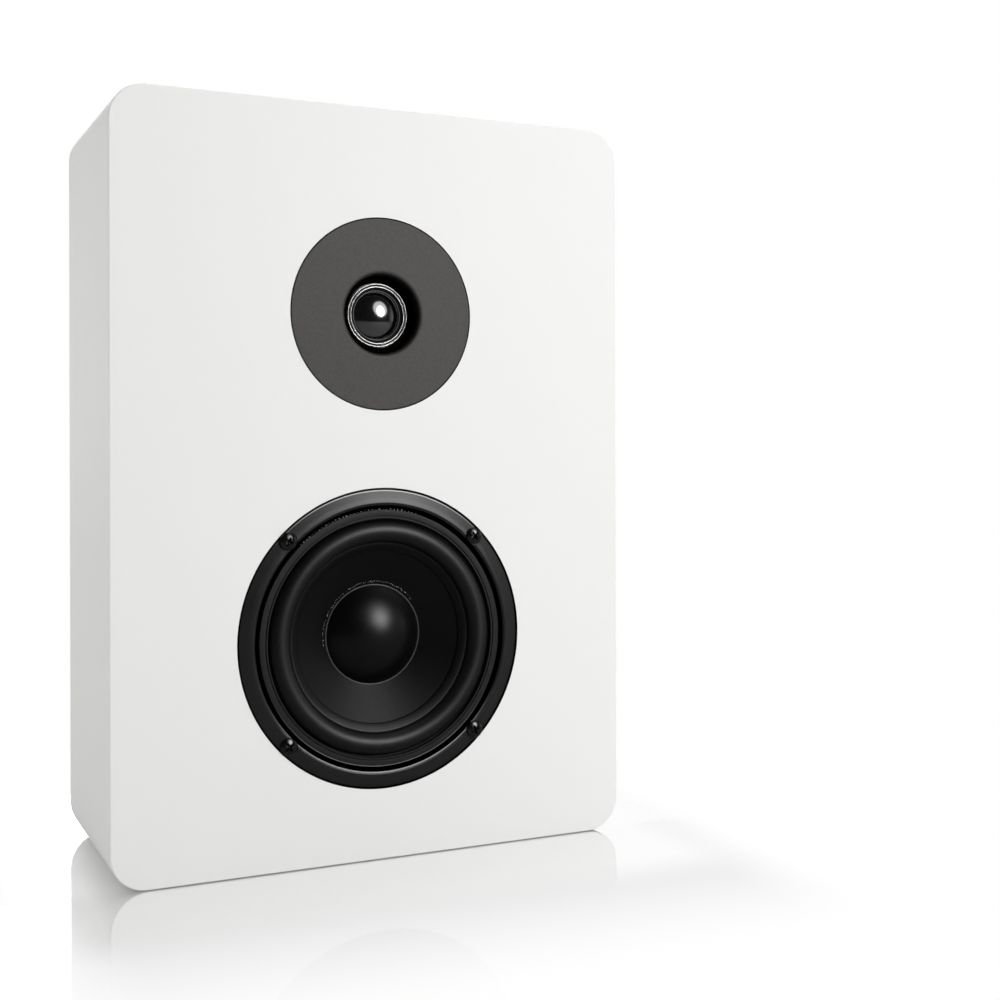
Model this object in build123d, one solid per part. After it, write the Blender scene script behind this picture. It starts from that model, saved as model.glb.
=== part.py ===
from build123d import *
import os
from math import cos, radians, sin, tan

# Two-way bookshelf speaker in millimetres: a shallow painted cabinet that stands on a shelf or hangs on
# a wall, with a dome tweeter above a cone woofer. X is to the viewer's right, Y to the rear and Z up.
# The origin is on the underside, in the middle of the cabinet's width and depth.
# Depths of the two drivers are counted from the front of the baffle towards the rear.

# Cabinet
CABINET_W = 264.0
CABINET_H = 366.0
CABINET_D = 109.0
CORNER_R = 17.0
EDGE_R = 0.8
BAFFLE_T = 18.0
PANEL_T = 15.0
REAR_T = 12.0

# Concealed grille magnets, in blind pockets drilled from the back of the baffle
MAGNET_R = 7.5
MAGNET_T = 4.0
MAGNET_SKIN = 3.0
MAGNET_INSET = 9.0

# Clearances
GLUE = 0.05
POCKET_GAP = 0.1
THREAD_GAP = 0.05
WASHER_PLAY = 0.05
PANEL_GAP = 0.4
SHADOW_GAP_WOOFER = 0.6
SHADOW_GAP_TWEETER = 0.4
OVERCUT = 1.0

# Cross-head screws, as shares of the head
HEAD_ROUNDING = 0.6
PAN_CROSS_DEPTH = 0.6
FLAT_CROSS_DEPTH = 0.7
CROSS_SLIMNESS = 9

# Woofer frame
WOOFER_Z = 107.6
WOOFER_RING_D = 145.3
WOOFER_RING_W = 7.85
WOOFER_RING_RISE = 1.1
WOOFER_RING_EDGE = 0.6
WOOFER_FLANGE_BACK = 3.6
WOOFER_GASKET_T = 1.0
WOOFER_CUTOUT_GAP = 0.5
BASKET_WALL = 2.0
BASKET_LEDGE_U = 4.2
BASKET_NECK_R = 42.0
BASKET_WAIST_U = 32.0
BASKET_FLOOR_GAP = 2.2
BASKET_LEDGE_W = 7.6
BASKET_SHOULDER_H = 1.5
BASKET_HOLE_GAP = 3.0
BASKET_SPOKES = 6
BASKET_SPOKE_W = 10.0
BASKET_WINDOW_U = (11.0, 27.0)
RING_CROWN_AT = 0.4
RING_CROWN_DROP = 0.35
RING_CROWN_R = 12.0
RING_EDGE_R = 0.4
RING_BEVEL_U = -0.3
RING_BEVEL_W = 1.0
CLAMP_W = 3.8
CLAMP_GROOVE_W = 2.3
CLAMP_FRONT_U = 0.3

# Woofer moving parts, where the travel is the largest that the frame leaves room for
WOOFER_TRAVEL = 4.0
SURROUND_T = 0.8
SURROUND_LAP = 1.2
SURROUND_TRIM = 0.2
ROLL_W = 11.5
ROLL_CLAMP_GAP = 0.9
ROLL_CREST_U = -1.6
LANDING_W = 4.0
CONE_UNDER_ROLL = 0.9
CONE_RIM_U = 3.6
CONE_SLOPE = 0.5
CONE_T = 0.9
CAP_R = 24.5
CAP_RISE = 10.0
CAP_T = 0.6
FORMER_R = (12.7, 13.0)
FORMER_END_U = 49.0
COIL_WIRE_T = 0.7
COIL_LENGTH = 11.0
SPIDER_T = 0.6
SPIDER_WAVE = 1.3
SPIDER_RIDGES = 4
SPIDER_RIM_W = 3.5
SPIDER_COLLAR_W = 2.0
SPIDER_LEDGE_RISE = 1.4

# Woofer motor
TOP_PLATE_T = 5.0
COIL_GAP = 0.65
POLE_GAP = 0.5
POLE_EDGE_R = 0.8
WOOFER_MAGNET_R = (20.0, 40.0)
WOOFER_MAGNET_T = 15.0
WOOFER_PLATE_R = 37.5
YOKE_T = 5.0
YOKE_EDGE_R = 1.5
POLE_VENT_R = 4.0

# Woofer screws
WOOFER_SCREWS = 4
WOOFER_SCREW_HEAD_R = 4.1
WOOFER_SCREW_HEAD_H = 2.6
WOOFER_SCREW_R = 2.0
WOOFER_SCREW_L = 13.0
WOOFER_SCREW_SEAT_U = 0.3
WOOFER_SCREW_CROSS = 4.8
SEAT_MARGIN = 0.5

# Woofer terminals and the braided leads to its cone
TERMINAL_BOARD = (14.0, 1.6, 18.0)
TERMINAL_BOARD_SINK = 1.0
BOARD_SEAT_GAP = 0.4
TAB_W = 4.8
TAB_T = 0.8
TAB_L = 8.0
TAB_PITCH = 10.0
TAB_GRIP = 3.0
TINSEL_D = 1.2
TINSEL_HALF_SPACING = 8.0
TINSEL_SEAT = 0.5

# Tweeter
TWEETER_DROP = 100.4
TWEETER_PLATE_D = 93.2
TWEETER_PLATE_T = 3.0
PLATE_EDGE_R = 0.4
THROAT_R = 19.6
THROAT_FLOOR_R = 18.9
THROAT_FLOOR_U = 7.8
THROAT_FLOOR_EDGE_R = 0.8
THROAT_HOLE_EDGE_R = 0.3
THROAT_LIP_R = 2.0
THROAT_WALL = 2.4
CHASSIS_T = 3.0
CHASSIS_FIT = 0.3
DOME_RING_FIT = 0.4
TWEETER_GASKET_T = 0.8
TWEETER_CUTOUT_R = 38.0
MOTOR_FACE_U = 9.0
HUB_R = 34.0
DOME_RING_R = (13.7, 15.6)
DOME_RING_FRONT_U = 7.0
DOME_R = 12.3
DOME_RISE = 4.0
DOME_T = 0.3
DOME_SKIN_T = 0.3
DOME_ROLL_RISE = 0.5
DOME_SEAT_GAP = 0.15
TWEETER_TRAVEL = 0.3
TWEETER_COIL_R = (12.15, 12.85)
TWEETER_COIL_L = 4.5
TWEETER_COIL_SKIN_T = 0.25
TWEETER_COIL_SKIN_L = 1.2
TWEETER_GAP = 0.5
TWEETER_PLATE_R = 33.0
TWEETER_TOP_T = 4.0
TWEETER_MAGNET_R = (18.0, 36.0)
TWEETER_MAGNET_T = 10.0
TWEETER_YOKE_T = 4.0
TWEETER_VENT_R = 4.0
REAR_CUP_R = 26.0
REAR_CUP_L = 12.0
REAR_CUP_WALL = 2.0
PLATE_PEGS = 4
PEG_R = 1.6
PEG_L = 2.6
PEG_CIRCLE_R = 40.0
TWEETER_SCREWS = 4
TWEETER_SCREW_CIRCLE_R = 42.2
TWEETER_SCREW_R = 1.6
TWEETER_SCREW_HEAD_R = 3.3
TWEETER_SCREW_HEAD_H = 1.9
TWEETER_SCREW_L = 11.0
TWEETER_BLOCK_T = 1.5
TWEETER_BLOCK_H = 18.0

# Terminal cup in the rear panel, and its two binding posts
TERMINAL_Z = 200.0
CUP_W = 66.0
CUP_H = 46.0
CUP_CORNER_R = 6.0
CUP_WALL = 2.0
CUP_DEPTH = 24.0
CUP_FLANGE_MARGIN = 9.0
CUP_FLANGE_T = 2.5
CUP_GASKET_T = 1.0
CUP_SCREW_INSET = 4.6
POST_PITCH = 19.0
POST_R = 4.0
POST_COLLAR_R = 5.6
POST_COLLAR_T = 2.0
POST_L = 18.4
POST_SHANK_R = 3.0
POST_SHANK_L = 12.0
BANANA_R = 2.05
BANANA_DEPTH = 13.0
WIRE_HOLE_R = 1.2
WIRE_HOLE_LIFT = 0.3
WASHER_R = 6.5
WASHER_T = 1.2
CAP_NUT_R = 7.2
CAP_NUT_L = 16.4
CAP_NUT_LIP_T = 1.0
CAP_NUT_MOUTH_R = 2.7
CAP_NUT_FIT = 0.15
CAP_NUT_BEVEL = 0.8
CAP_NUT_END_R = 1.2
POST_NUT_AF = 9.0
POST_NUT_T = 3.0
TAG_T = 0.6
TAG_W = 5.0
TAG_L = 15.0

# Wall hangers
KEYHOLE_X = 85.0
KEYHOLE_DROP = 42.0
KEYHOLE_PLATE = (22.0, 2.0, 46.0)
KEYHOLE_HEAD_R = 4.75
KEYHOLE_SLOT_W = 4.6
KEYHOLE_SLOT_L = 12.0
KEYHOLE_POCKET = (14.0, 6.0, 28.0)
KEYHOLE_SCREW_INSET = 4.5
KEYHOLE_CORNER_R = 3.0

# Small countersunk screws of the rear panel
SMALL_SCREW_R = 1.5
SMALL_SCREW_HEAD_R = 3.0
SMALL_SCREW_L = 9.0

# Crossover
BOARD_W = 64.0
BOARD_H = 110.0
BOARD_T = 1.6
BOARD_Z = 245.0
BOARD_MARGIN = 5.0
BOARD_HOLE_INSET = 4.5
STANDOFF_R = 3.0
STANDOFF_L = 5.0
BOARD_SCREW_R = 1.5
BOARD_SCREW_HEAD_R = 2.8
BOARD_SCREW_HEAD_H = 1.8
BOARD_SCREW_BITE = 7.0
BOARD_TAB_INSET = 6.0
BOARD_TAB_TOP = 14.0
INPUT_TAB_UP = -14.0
WOOFER_COIL = (6.0, 16.0, 20.0)
WOOFER_COIL_AT = (-5.0, 12.0)
TWEETER_COIL = (4.5, 11.0, 14.0)
TWEETER_COIL_AT = (-10.0, -22.0)
WOOFER_CAP = (8.5, 34.0)
WOOFER_CAP_AT = (21.0, 16.4)
TWEETER_CAP = (7.0, 34.0)
TWEETER_CAP_AT = (0.0, 41.0)
RESISTOR = (22.0, 9.0, 9.0)
RESISTOR_X = 14.0
RESISTOR_UP = (-16.0, -29.0)
SEAT_GAP = 0.2

# Damping felt and wiring
FELT_T = 10.0
FELT_MARGIN = 7.0
FELT_HOLE_GAP = 10.0
LEAD_D = 2.4

# Values that follow from the sizes above
FRONT_Y = -CABINET_D / 2
REAR_Y = CABINET_D / 2
INNER_REAR_Y = REAR_Y - REAR_T
INNER_W = CABINET_W - 2 * PANEL_T
INNER_H = CABINET_H - 2 * PANEL_T
TWEETER_Z = CABINET_H - TWEETER_DROP
WOOFER = Location((0, FRONT_Y, WOOFER_Z))
TWEETER = Location((0, FRONT_Y, TWEETER_Z))
WOOFER_RING_R = WOOFER_RING_D / 2
WOOFER_GROOVE_R = WOOFER_RING_R - WOOFER_RING_W
CLAMP_OUTER_R = WOOFER_GROOVE_R - CLAMP_GROOVE_W
CLAMP_R = (CLAMP_OUTER_R - CLAMP_W, CLAMP_OUTER_R)
ROLL_OUTER_R = CLAMP_R[0] - ROLL_CLAMP_GAP
ROLL_R = (ROLL_OUTER_R - ROLL_W, ROLL_OUTER_R)
LANDING_R = ROLL_R[0] - LANDING_W
CONE_RIM_R = ROLL_R[0] + CONE_UNDER_ROLL
WOOFER_SCREW_CIRCLE_R = (WOOFER_RING_R + WOOFER_GROOVE_R) / 2
WOOFER_RECESS_U = WOOFER_FLANGE_BACK + WOOFER_GASKET_T
BASKET_R = WOOFER_SCREW_CIRCLE_R - WOOFER_SCREW_R - POCKET_GAP
WOOFER_CUTOUT_R = BASKET_R + WOOFER_CUTOUT_GAP
BASKET_BACK_U = BASKET_WAIST_U + SPIDER_WAVE + WOOFER_TRAVEL + BASKET_FLOOR_GAP + BASKET_WALL
SPIDER_U = BASKET_WAIST_U - SPIDER_LEDGE_RISE
TERMINAL_BOARD_U = BASKET_WINDOW_U[1] + TERMINAL_BOARD_SINK
FELT_HOLE_R = WOOFER_MAGNET_R[1] + FELT_HOLE_GAP
TWEETER_PLATE_OUT_R = TWEETER_PLATE_D / 2
TWEETER_RECESS_U = TWEETER_PLATE_T + CHASSIS_T + TWEETER_GASKET_T
SURROUND_FLANGE_U = BASKET_LEDGE_U - SURROUND_T
COIL_START_U = BASKET_BACK_U + TOP_PLATE_T / 2 - COIL_LENGTH / 2
TWEETER_YOKE_U = MOTOR_FACE_U + TWEETER_TOP_T + TWEETER_MAGNET_T
TWEETER_BACK_U = TWEETER_YOKE_U + TWEETER_YOKE_T
DOME_RIM_U = MOTOR_FACE_U - DOME_SKIN_T - TWEETER_TRAVEL
CUP_FLOOR_Y = REAR_Y - CUP_DEPTH + CUP_WALL
CUP_INNER_Y = REAR_Y - CUP_DEPTH
CUP_FLANGE_W = CUP_W + 2 * CUP_FLANGE_MARGIN
CUP_FLANGE_H = CUP_H + 2 * CUP_FLANGE_MARGIN
POST_X = {"red": POST_PITCH / 2, "black": -POST_PITCH / 2}
KEYHOLE_Z = CABINET_H - KEYHOLE_DROP
BOARD_X = INNER_W / 2 - BOARD_MARGIN - BOARD_W / 2
BOARD_Y = INNER_REAR_Y - STANDOFF_L - BOARD_T


def turned(*corners):
    """A solid turned about Y, from (radius, depth) corners that take a rounding as a third value."""
    points = [corner[:2] for corner in corners]
    rounding = [corner[2] if len(corner) > 2 else 0 for corner in corners]
    return revolve(make_face(FilletPolyline(*points, radius=rounding, close=True)), Axis.Y)


def rod(radius, start, end):
    """A solid cylinder along Y."""
    return turned((0, start), (radius, start), (radius, end), (0, end))


def tube(radii, start, end):
    """A hollow cylinder along Y."""
    inner, outer = radii
    return turned((inner, start), (outer, start), (outer, end), (inner, end))


def block(x, y, z):
    """A box between two limits on each axis."""
    middle = [(low + high) / 2 for low, high in (x, y, z)]
    return Pos(*middle) * Box(x[1] - x[0], y[1] - y[0], z[1] - z[0])


def plate(width, height, corner, start, end):
    """A plate in the XZ plane with rounded corners, between two places along Y."""
    outline = Plane.XZ * RectangleRounded(width, height, corner)
    return Pos(0, start, 0) * extrude(outline, amount=end - start, dir=(0, 1, 0))


def around(count, radius, first_angle=0.0):
    """Places on a circle about the Y axis, with the angle counted from X towards Z."""
    angles = [radians(first_angle + 360.0 * k / count) for k in range(count)]
    return [Pos(radius * cos(a), 0, radius * sin(a)) for a in angles]


def together(solids):
    """Separate solids of one node."""
    return Compound(children=[solid for item in solids for solid in item.solids()])


def shell_cap(rim_r, rim_u, rise, wall):
    """A thin part of a ball, turned about Y, whose rim is flat and whose tip points to the front."""
    ball_r = (rise**2 + rim_r**2) / (2 * rise)
    middle = Pos(0, rim_u - rise + ball_r)
    skin = middle * Circle(ball_r) - middle * Circle(ball_r - wall)
    half = Pos(rim_r / 2, rim_u - rise / 2) * Rectangle(rim_r, rise)
    return revolve(skin & half, Axis.Y)


def roll_section(radii, foot_u, crest_u, wall):
    """Section of a half roll between two feet at the same depth."""
    half_width = (radii[1] - radii[0]) / 2
    rise = foot_u - crest_u
    bend_r = (rise**2 + half_width**2) / (2 * rise)
    middle = Pos(radii[0] + half_width, crest_u + bend_r)
    skin = middle * Circle(bend_r) - middle * Circle(bend_r - wall)
    window = Pos(radii[0] + half_width, foot_u - rise / 2) * Rectangle(2 * bend_r, rise)
    return skin & window


def pan_screw(head_r, head_h, shank_r, length, cross):
    """A cross-head screw along Y whose head stands in front of its seat at zero."""
    screw = turned(
        (0, -head_h),
        (head_r, -head_h, head_h * HEAD_ROUNDING),
        (head_r, 0),
        (shank_r, 0),
        (shank_r, length - shank_r),
        (0, length),
    )
    arm = (-cross / CROSS_SLIMNESS, cross / CROSS_SLIMNESS)
    slot = block((-cross / 2, cross / 2), (-head_h - OVERCUT, -head_h * (1 - PAN_CROSS_DEPTH)), arm)
    return screw - slot - Rot(Y=90) * slot


def flat_screw(head_r, shank_r, length, cross):
    """A countersunk cross-head screw along Y whose head is flush at zero."""
    taper = head_r - shank_r
    screw = turned(
        (0, 0),
        (head_r, 0),
        (shank_r, taper),
        (shank_r, length - shank_r),
        (0, length),
    )
    arm = (-cross / CROSS_SLIMNESS, cross / CROSS_SLIMNESS)
    slot = block((-cross / 2, cross / 2), (-OVERCUT, taper * FLAT_CROSS_DEPTH), arm)
    return screw - slot - Rot(Y=90) * slot


def flat_screw_hole(head_r, shank_r, length):
    """Room for a countersunk screw."""
    taper = head_r - shank_r
    wide = head_r + THREAD_GAP
    narrow = shank_r + THREAD_GAP
    end = length + OVERCUT
    return turned((0, -OVERCUT), (wide, -OVERCUT), (wide, 0), (narrow, taper), (narrow, end), (0, end))


def lead(points, diameter):
    """A round wire whose bends are as large as its straight runs allow."""
    route = [Vector(*point) for point in points]
    radii = []
    for before, corner, after in zip(route, route[1:], route[2:]):
        turn = radians((corner - before).get_angle(after - corner))
        shorter = min((corner - before).length, (after - corner).length)
        radii.append(0.45 * shorter / tan(turn / 2))
    path = FilletPolyline(*route, radius=radii)
    return sweep((path ^ 0) * Circle(diameter / 2), path=path)


def cone_front(radius):
    """Depth of the woofer cone's front surface."""
    return CONE_RIM_U + CONE_SLOPE * (CONE_RIM_R - radius)


def cabinet_outline():
    return Pos(0, 0, CABINET_H / 2) * (Plane.XZ * RectangleRounded(CABINET_W, CABINET_H, CORNER_R))


def front_baffle():
    outline = Pos(0, FRONT_Y, 0) * cabinet_outline()
    slab = extrude(outline, amount=BAFFLE_T, dir=(0, 1, 0))
    slab = fillet(slab.faces().sort_by(Axis.Y)[0].edges(), EDGE_R)
    pilot = rod(WOOFER_SCREW_R + THREAD_GAP, 0, WOOFER_SCREW_SEAT_U + WOOFER_SCREW_L + OVERCUT)
    small_pilot = rod(TWEETER_SCREW_R + THREAD_GAP, 0, TWEETER_PLATE_T + TWEETER_SCREW_L + 2)
    magnet_pocket = rod(MAGNET_R + POCKET_GAP, MAGNET_SKIN, BAFFLE_T + OVERCUT)
    cuts = [
        WOOFER * rod(WOOFER_RING_R + SHADOW_GAP_WOOFER, -OVERCUT, WOOFER_RECESS_U),
        WOOFER * rod(WOOFER_CUTOUT_R, -OVERCUT, BAFFLE_T + OVERCUT),
        TWEETER * rod(TWEETER_PLATE_OUT_R + SHADOW_GAP_TWEETER, -OVERCUT, TWEETER_RECESS_U),
        TWEETER * rod(TWEETER_CUTOUT_R, -OVERCUT, BAFFLE_T + OVERCUT),
    ]
    cuts += [WOOFER * place * pilot for place in woofer_screw_places()]
    cuts += [TWEETER * place * small_pilot for place in tweeter_screw_places()]
    cuts += [place * magnet_pocket for place in grille_magnet_places()]
    return slab - cuts


def wrap_panels():
    """The four outer panels, cut from one rounded frame by mitres at its corners."""
    start = FRONT_Y + BAFFLE_T
    inner = Pos(0, 0, CABINET_H / 2) * (Plane.XZ * Rectangle(INNER_W, INNER_H))
    frame = Pos(0, start, 0) * extrude(cabinet_outline() - inner, amount=REAR_Y - start, dir=(0, 1, 0))
    back = frame.faces().sort_by(Axis.Y)[-1]
    frame = fillet(back.outer_wire().edges(), EDGE_R)
    outer_x, outer_z = CABINET_W / 2, CABINET_H
    inner_x, low_z, high_z = INNER_W / 2, PANEL_T, CABINET_H - PANEL_T
    corners = {
        "top_panel": [(-outer_x, outer_z), (outer_x, outer_z), (inner_x, high_z), (-inner_x, high_z)],
        "bottom_panel": [(-outer_x, 0), (outer_x, 0), (inner_x, low_z), (-inner_x, low_z)],
        "left_side_panel": [(-outer_x, 0), (-outer_x, outer_z), (-inner_x, high_z), (-inner_x, low_z)],
        "right_side_panel": [(outer_x, 0), (outer_x, outer_z), (inner_x, high_z), (inner_x, low_z)],
    }
    panels = {}
    for name, outline in corners.items():
        face = make_face(Polyline(*[(x, start, z) for x, z in outline], close=True))
        panels[name] = frame & extrude(face, amount=REAR_Y - start, dir=(0, 1, 0))
    return panels


def rear_panel():
    middle = (INNER_REAR_Y, REAR_Y)
    panel = block((-INNER_W / 2, INNER_W / 2), middle, (PANEL_T, CABINET_H - PANEL_T))
    rebate_y = REAR_Y - CUP_FLANGE_T - CUP_GASKET_T
    flange_w, flange_h = CUP_FLANGE_W + 2 * PANEL_GAP, CUP_FLANGE_H + 2 * PANEL_GAP
    cup_w, cup_h = CUP_W + 2 * PANEL_GAP, CUP_H + 2 * PANEL_GAP
    plate_w, plate_t, plate_h = KEYHOLE_PLATE
    pocket_w, pocket_t, pocket_h = KEYHOLE_POCKET
    plate_y = REAR_Y - plate_t
    rebate = plate(flange_w, flange_h, CUP_CORNER_R + PANEL_GAP, rebate_y, REAR_Y + OVERCUT)
    opening = plate(cup_w, cup_h, CUP_CORNER_R + PANEL_GAP, INNER_REAR_Y - OVERCUT, REAR_Y + OVERCUT)
    plate_w, plate_h = plate_w + 2 * POCKET_GAP, plate_h + 2 * POCKET_GAP
    hanger = plate(plate_w, plate_h, KEYHOLE_CORNER_R, plate_y, REAR_Y + OVERCUT)
    hanger += plate(pocket_w, pocket_h, KEYHOLE_CORNER_R, plate_y - pocket_t, REAR_Y + OVERCUT)
    screw_hole = Pos(0, REAR_Y, 0) * Rot(Z=180) * rod(SMALL_SCREW_R + THREAD_GAP, 0, SMALL_SCREW_L + OVERCUT)
    board_hole = rod(BOARD_SCREW_R + THREAD_GAP, -OVERCUT, BOARD_SCREW_BITE + OVERCUT)
    cuts = [Pos(0, 0, TERMINAL_Z) * rebate, Pos(0, 0, TERMINAL_Z) * opening]
    cuts += [place * hanger for place in keyhole_places()]
    cuts += [place * screw_hole for place in cup_screw_places() + keyhole_screw_places()]
    cuts += [place * Pos(0, INNER_REAR_Y, 0) * board_hole for place in board_screw_places()]
    return panel - cuts


def damping_felt():
    top = TERMINAL_Z - CUP_H / 2 - FELT_MARGIN
    side = INNER_W / 2 - FELT_MARGIN
    depth = (INNER_REAR_Y - FELT_T, INNER_REAR_Y)
    felt = block((-side, side), depth, (PANEL_T + FELT_MARGIN, top))
    return felt - Pos(0, 0, WOOFER_Z) * rod(FELT_HOLE_R, depth[0] - OVERCUT, depth[1] + OVERCUT)


def grille_magnet_places():
    inset = PANEL_T + MAGNET_INSET
    x = CABINET_W / 2 - inset
    return [Pos(sx * x, FRONT_Y, z) for sx in (-1, 1) for z in (inset, CABINET_H - inset)]


def grille_magnets():
    disc = rod(MAGNET_R, MAGNET_SKIN, MAGNET_SKIN + MAGNET_T)
    return together([place * disc for place in grille_magnet_places()])


def woofer_screw_places():
    return around(WOOFER_SCREWS, WOOFER_SCREW_CIRCLE_R, 45)


def woofer_basket():
    """Mounting ring, stepped ledge for the surround, spoked cone, spider ledge and back."""
    crown_r = WOOFER_GROOVE_R + (WOOFER_RING_R - WOOFER_GROOVE_R) * RING_CROWN_AT
    crown_u = RING_CROWN_DROP - WOOFER_RING_RISE
    ledge_in_r = WOOFER_GROOVE_R - BASKET_LEDGE_W
    waist_r = BASKET_NECK_R - BASKET_WALL
    spider_in_r = waist_r - SPIDER_RIM_W - 1.0
    shoulder_u = BASKET_LEDGE_U + BASKET_WALL
    hole_r = FORMER_R[1] + BASKET_HOLE_GAP
    frame = turned(
        (WOOFER_GROOVE_R, BASKET_LEDGE_U),
        (WOOFER_GROOVE_R, RING_BEVEL_U),
        (WOOFER_GROOVE_R + RING_BEVEL_W, -WOOFER_RING_RISE, RING_BEVEL_W),
        (crown_r, crown_u, RING_CROWN_R),
        (WOOFER_RING_R, WOOFER_RING_EDGE, RING_EDGE_R),
        (WOOFER_RING_R, WOOFER_FLANGE_BACK),
        (BASKET_R, WOOFER_FLANGE_BACK),
        (BASKET_R, shoulder_u + BASKET_SHOULDER_H),
        (BASKET_NECK_R, BASKET_WAIST_U),
        (BASKET_NECK_R, BASKET_BACK_U),
        (hole_r, BASKET_BACK_U),
        (hole_r, BASKET_BACK_U - BASKET_WALL),
        (waist_r, BASKET_BACK_U - BASKET_WALL),
        (waist_r, SPIDER_U + BASKET_WALL),
        (spider_in_r, SPIDER_U + BASKET_WALL),
        (spider_in_r, SPIDER_U),
        (waist_r + 1.0, SPIDER_U),
        (BASKET_R - BASKET_WALL, shoulder_u + 1),
        (BASKET_R - BASKET_WALL, shoulder_u),
        (ledge_in_r, shoulder_u),
        (ledge_in_r, BASKET_LEDGE_U),
    )
    half = BASKET_R + OVERCUT
    band = tube((WOOFER_MAGNET_R[0], half), *BASKET_WINDOW_U)
    spoke = block((-half, half), (0, BASKET_BACK_U), (-BASKET_SPOKE_W / 2, BASKET_SPOKE_W / 2))
    windows = band - [Rot(Y=360 / BASKET_SPOKES * k) * spoke for k in range(BASKET_SPOKES // 2)]
    seat = rod(WOOFER_SCREW_HEAD_R + SEAT_MARGIN, -WOOFER_RING_RISE - OVERCUT, WOOFER_SCREW_SEAT_U)
    hole = rod(WOOFER_SCREW_R + THREAD_GAP, 0, WOOFER_FLANGE_BACK + OVERCUT)
    cuts = [place * (seat + hole) for place in woofer_screw_places()]
    return WOOFER * (frame - windows - cuts)


def woofer_gasket():
    ring = tube((WOOFER_CUTOUT_R, WOOFER_RING_R), WOOFER_FLANGE_BACK, WOOFER_RECESS_U)
    hole = rod(WOOFER_SCREW_R + THREAD_GAP, 0, WOOFER_RECESS_U + OVERCUT)
    return WOOFER * (ring - [place * hole for place in woofer_screw_places()])


def woofer_clamp_ring():
    inner, outer = CLAMP_R
    return WOOFER * turned(
        (inner, SURROUND_FLANGE_U),
        (inner, CLAMP_FRONT_U, RING_EDGE_R),
        (outer, CLAMP_FRONT_U, RING_EDGE_R),
        (outer, SURROUND_FLANGE_U),
    )


def woofer_surround():
    """Half roll with a flat outer flange under the clamp ring and a landing glued to the cone."""
    foot_u = SURROUND_FLANGE_U
    section = roll_section(ROLL_R, foot_u, ROLL_CREST_U, SURROUND_T)
    flange = [
        (ROLL_R[1] - SURROUND_LAP, foot_u),
        (CLAMP_R[1] - SURROUND_TRIM, foot_u),
        (CLAMP_R[1] - SURROUND_TRIM, BASKET_LEDGE_U),
        (ROLL_R[1] - SURROUND_LAP, BASKET_LEDGE_U),
    ]
    outer_r = ROLL_R[0] + SURROUND_T
    landing = [
        (LANDING_R, cone_front(LANDING_R) - GLUE - SURROUND_T),
        (outer_r, cone_front(outer_r) - GLUE - SURROUND_T),
        (outer_r, cone_front(outer_r) - GLUE),
        (LANDING_R, cone_front(LANDING_R) - GLUE),
    ]
    section += make_face(Polyline(*flange, close=True))
    section += make_face(Polyline(*landing, close=True))
    return WOOFER * revolve(section, Axis.Y)


def woofer_cone():
    neck_r = FORMER_R[1] + GLUE
    return WOOFER * turned(
        (CONE_RIM_R, cone_front(CONE_RIM_R)),
        (CONE_RIM_R, cone_front(CONE_RIM_R) + CONE_T),
        (neck_r, cone_front(neck_r) + CONE_T),
        (neck_r, cone_front(neck_r)),
    )


def woofer_dust_cap():
    return WOOFER * shell_cap(CAP_R, cone_front(CAP_R) - GLUE, CAP_RISE, CAP_T)


def woofer_coil_former():
    return WOOFER * tube(FORMER_R, cone_front(FORMER_R[1]) - 2, FORMER_END_U)


def woofer_voice_coil():
    radii = (FORMER_R[1] + GLUE, FORMER_R[1] + GLUE + COIL_WIRE_T)
    return WOOFER * tube(radii, COIL_START_U, COIL_START_U + COIL_LENGTH)


def woofer_spider():
    """Corrugated disc between the coil former and the frame's inner ledge."""
    inner = FORMER_R[1] + GLUE
    outer = BASKET_NECK_R - BASKET_WALL
    rim = outer - SPIDER_RIM_W
    middle_u = SPIDER_U - SPIDER_T - GLUE
    waves = 2 * SPIDER_RIDGES
    pitch = (rim - inner - SPIDER_COLLAR_W) / waves
    front = [(inner, middle_u), (inner + SPIDER_COLLAR_W, middle_u)]
    for k in range(waves - 1):
        side = -1 if k % 2 == 0 else 1
        front.append((inner + SPIDER_COLLAR_W + pitch * (k + 1), middle_u + side * SPIDER_WAVE))
    front += [(rim, middle_u), (outer, middle_u)]
    back = [(radius, depth + SPIDER_T) for radius, depth in reversed(front)]
    return WOOFER * turned(*front, *back)


def woofer_top_plate():
    bore = FORMER_R[1] + GLUE + COIL_WIRE_T + COIL_GAP
    return WOOFER * tube((bore, WOOFER_PLATE_R), BASKET_BACK_U, BASKET_BACK_U + TOP_PLATE_T)


def woofer_magnet():
    start = BASKET_BACK_U + TOP_PLATE_T
    return WOOFER * tube(WOOFER_MAGNET_R, start, start + WOOFER_MAGNET_T)


def woofer_yoke():
    """Back plate and vented pole in one turned piece."""
    pole_r = FORMER_R[0] - POLE_GAP
    seat = BASKET_BACK_U + TOP_PLATE_T + WOOFER_MAGNET_T
    return WOOFER * turned(
        (POLE_VENT_R, BASKET_BACK_U),
        (pole_r, BASKET_BACK_U, POLE_EDGE_R),
        (pole_r, seat),
        (WOOFER_PLATE_R, seat),
        (WOOFER_PLATE_R, seat + YOKE_T, YOKE_EDGE_R),
        (POLE_VENT_R, seat + YOKE_T),
    )


def woofer_screws():
    screw = pan_screw(
        WOOFER_SCREW_HEAD_R, WOOFER_SCREW_HEAD_H, WOOFER_SCREW_R, WOOFER_SCREW_L, WOOFER_SCREW_CROSS
    )
    seat = Pos(0, WOOFER_SCREW_SEAT_U, 0)
    return together([WOOFER * place * seat * screw for place in woofer_screw_places()])


def woofer_board_x():
    """Inner edge of the terminal board, against the frame's cone at the spoke on the right."""
    return BASKET_NECK_R + (BASKET_WAIST_U - BASKET_WINDOW_U[1]) + BOARD_SEAT_GAP


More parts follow.
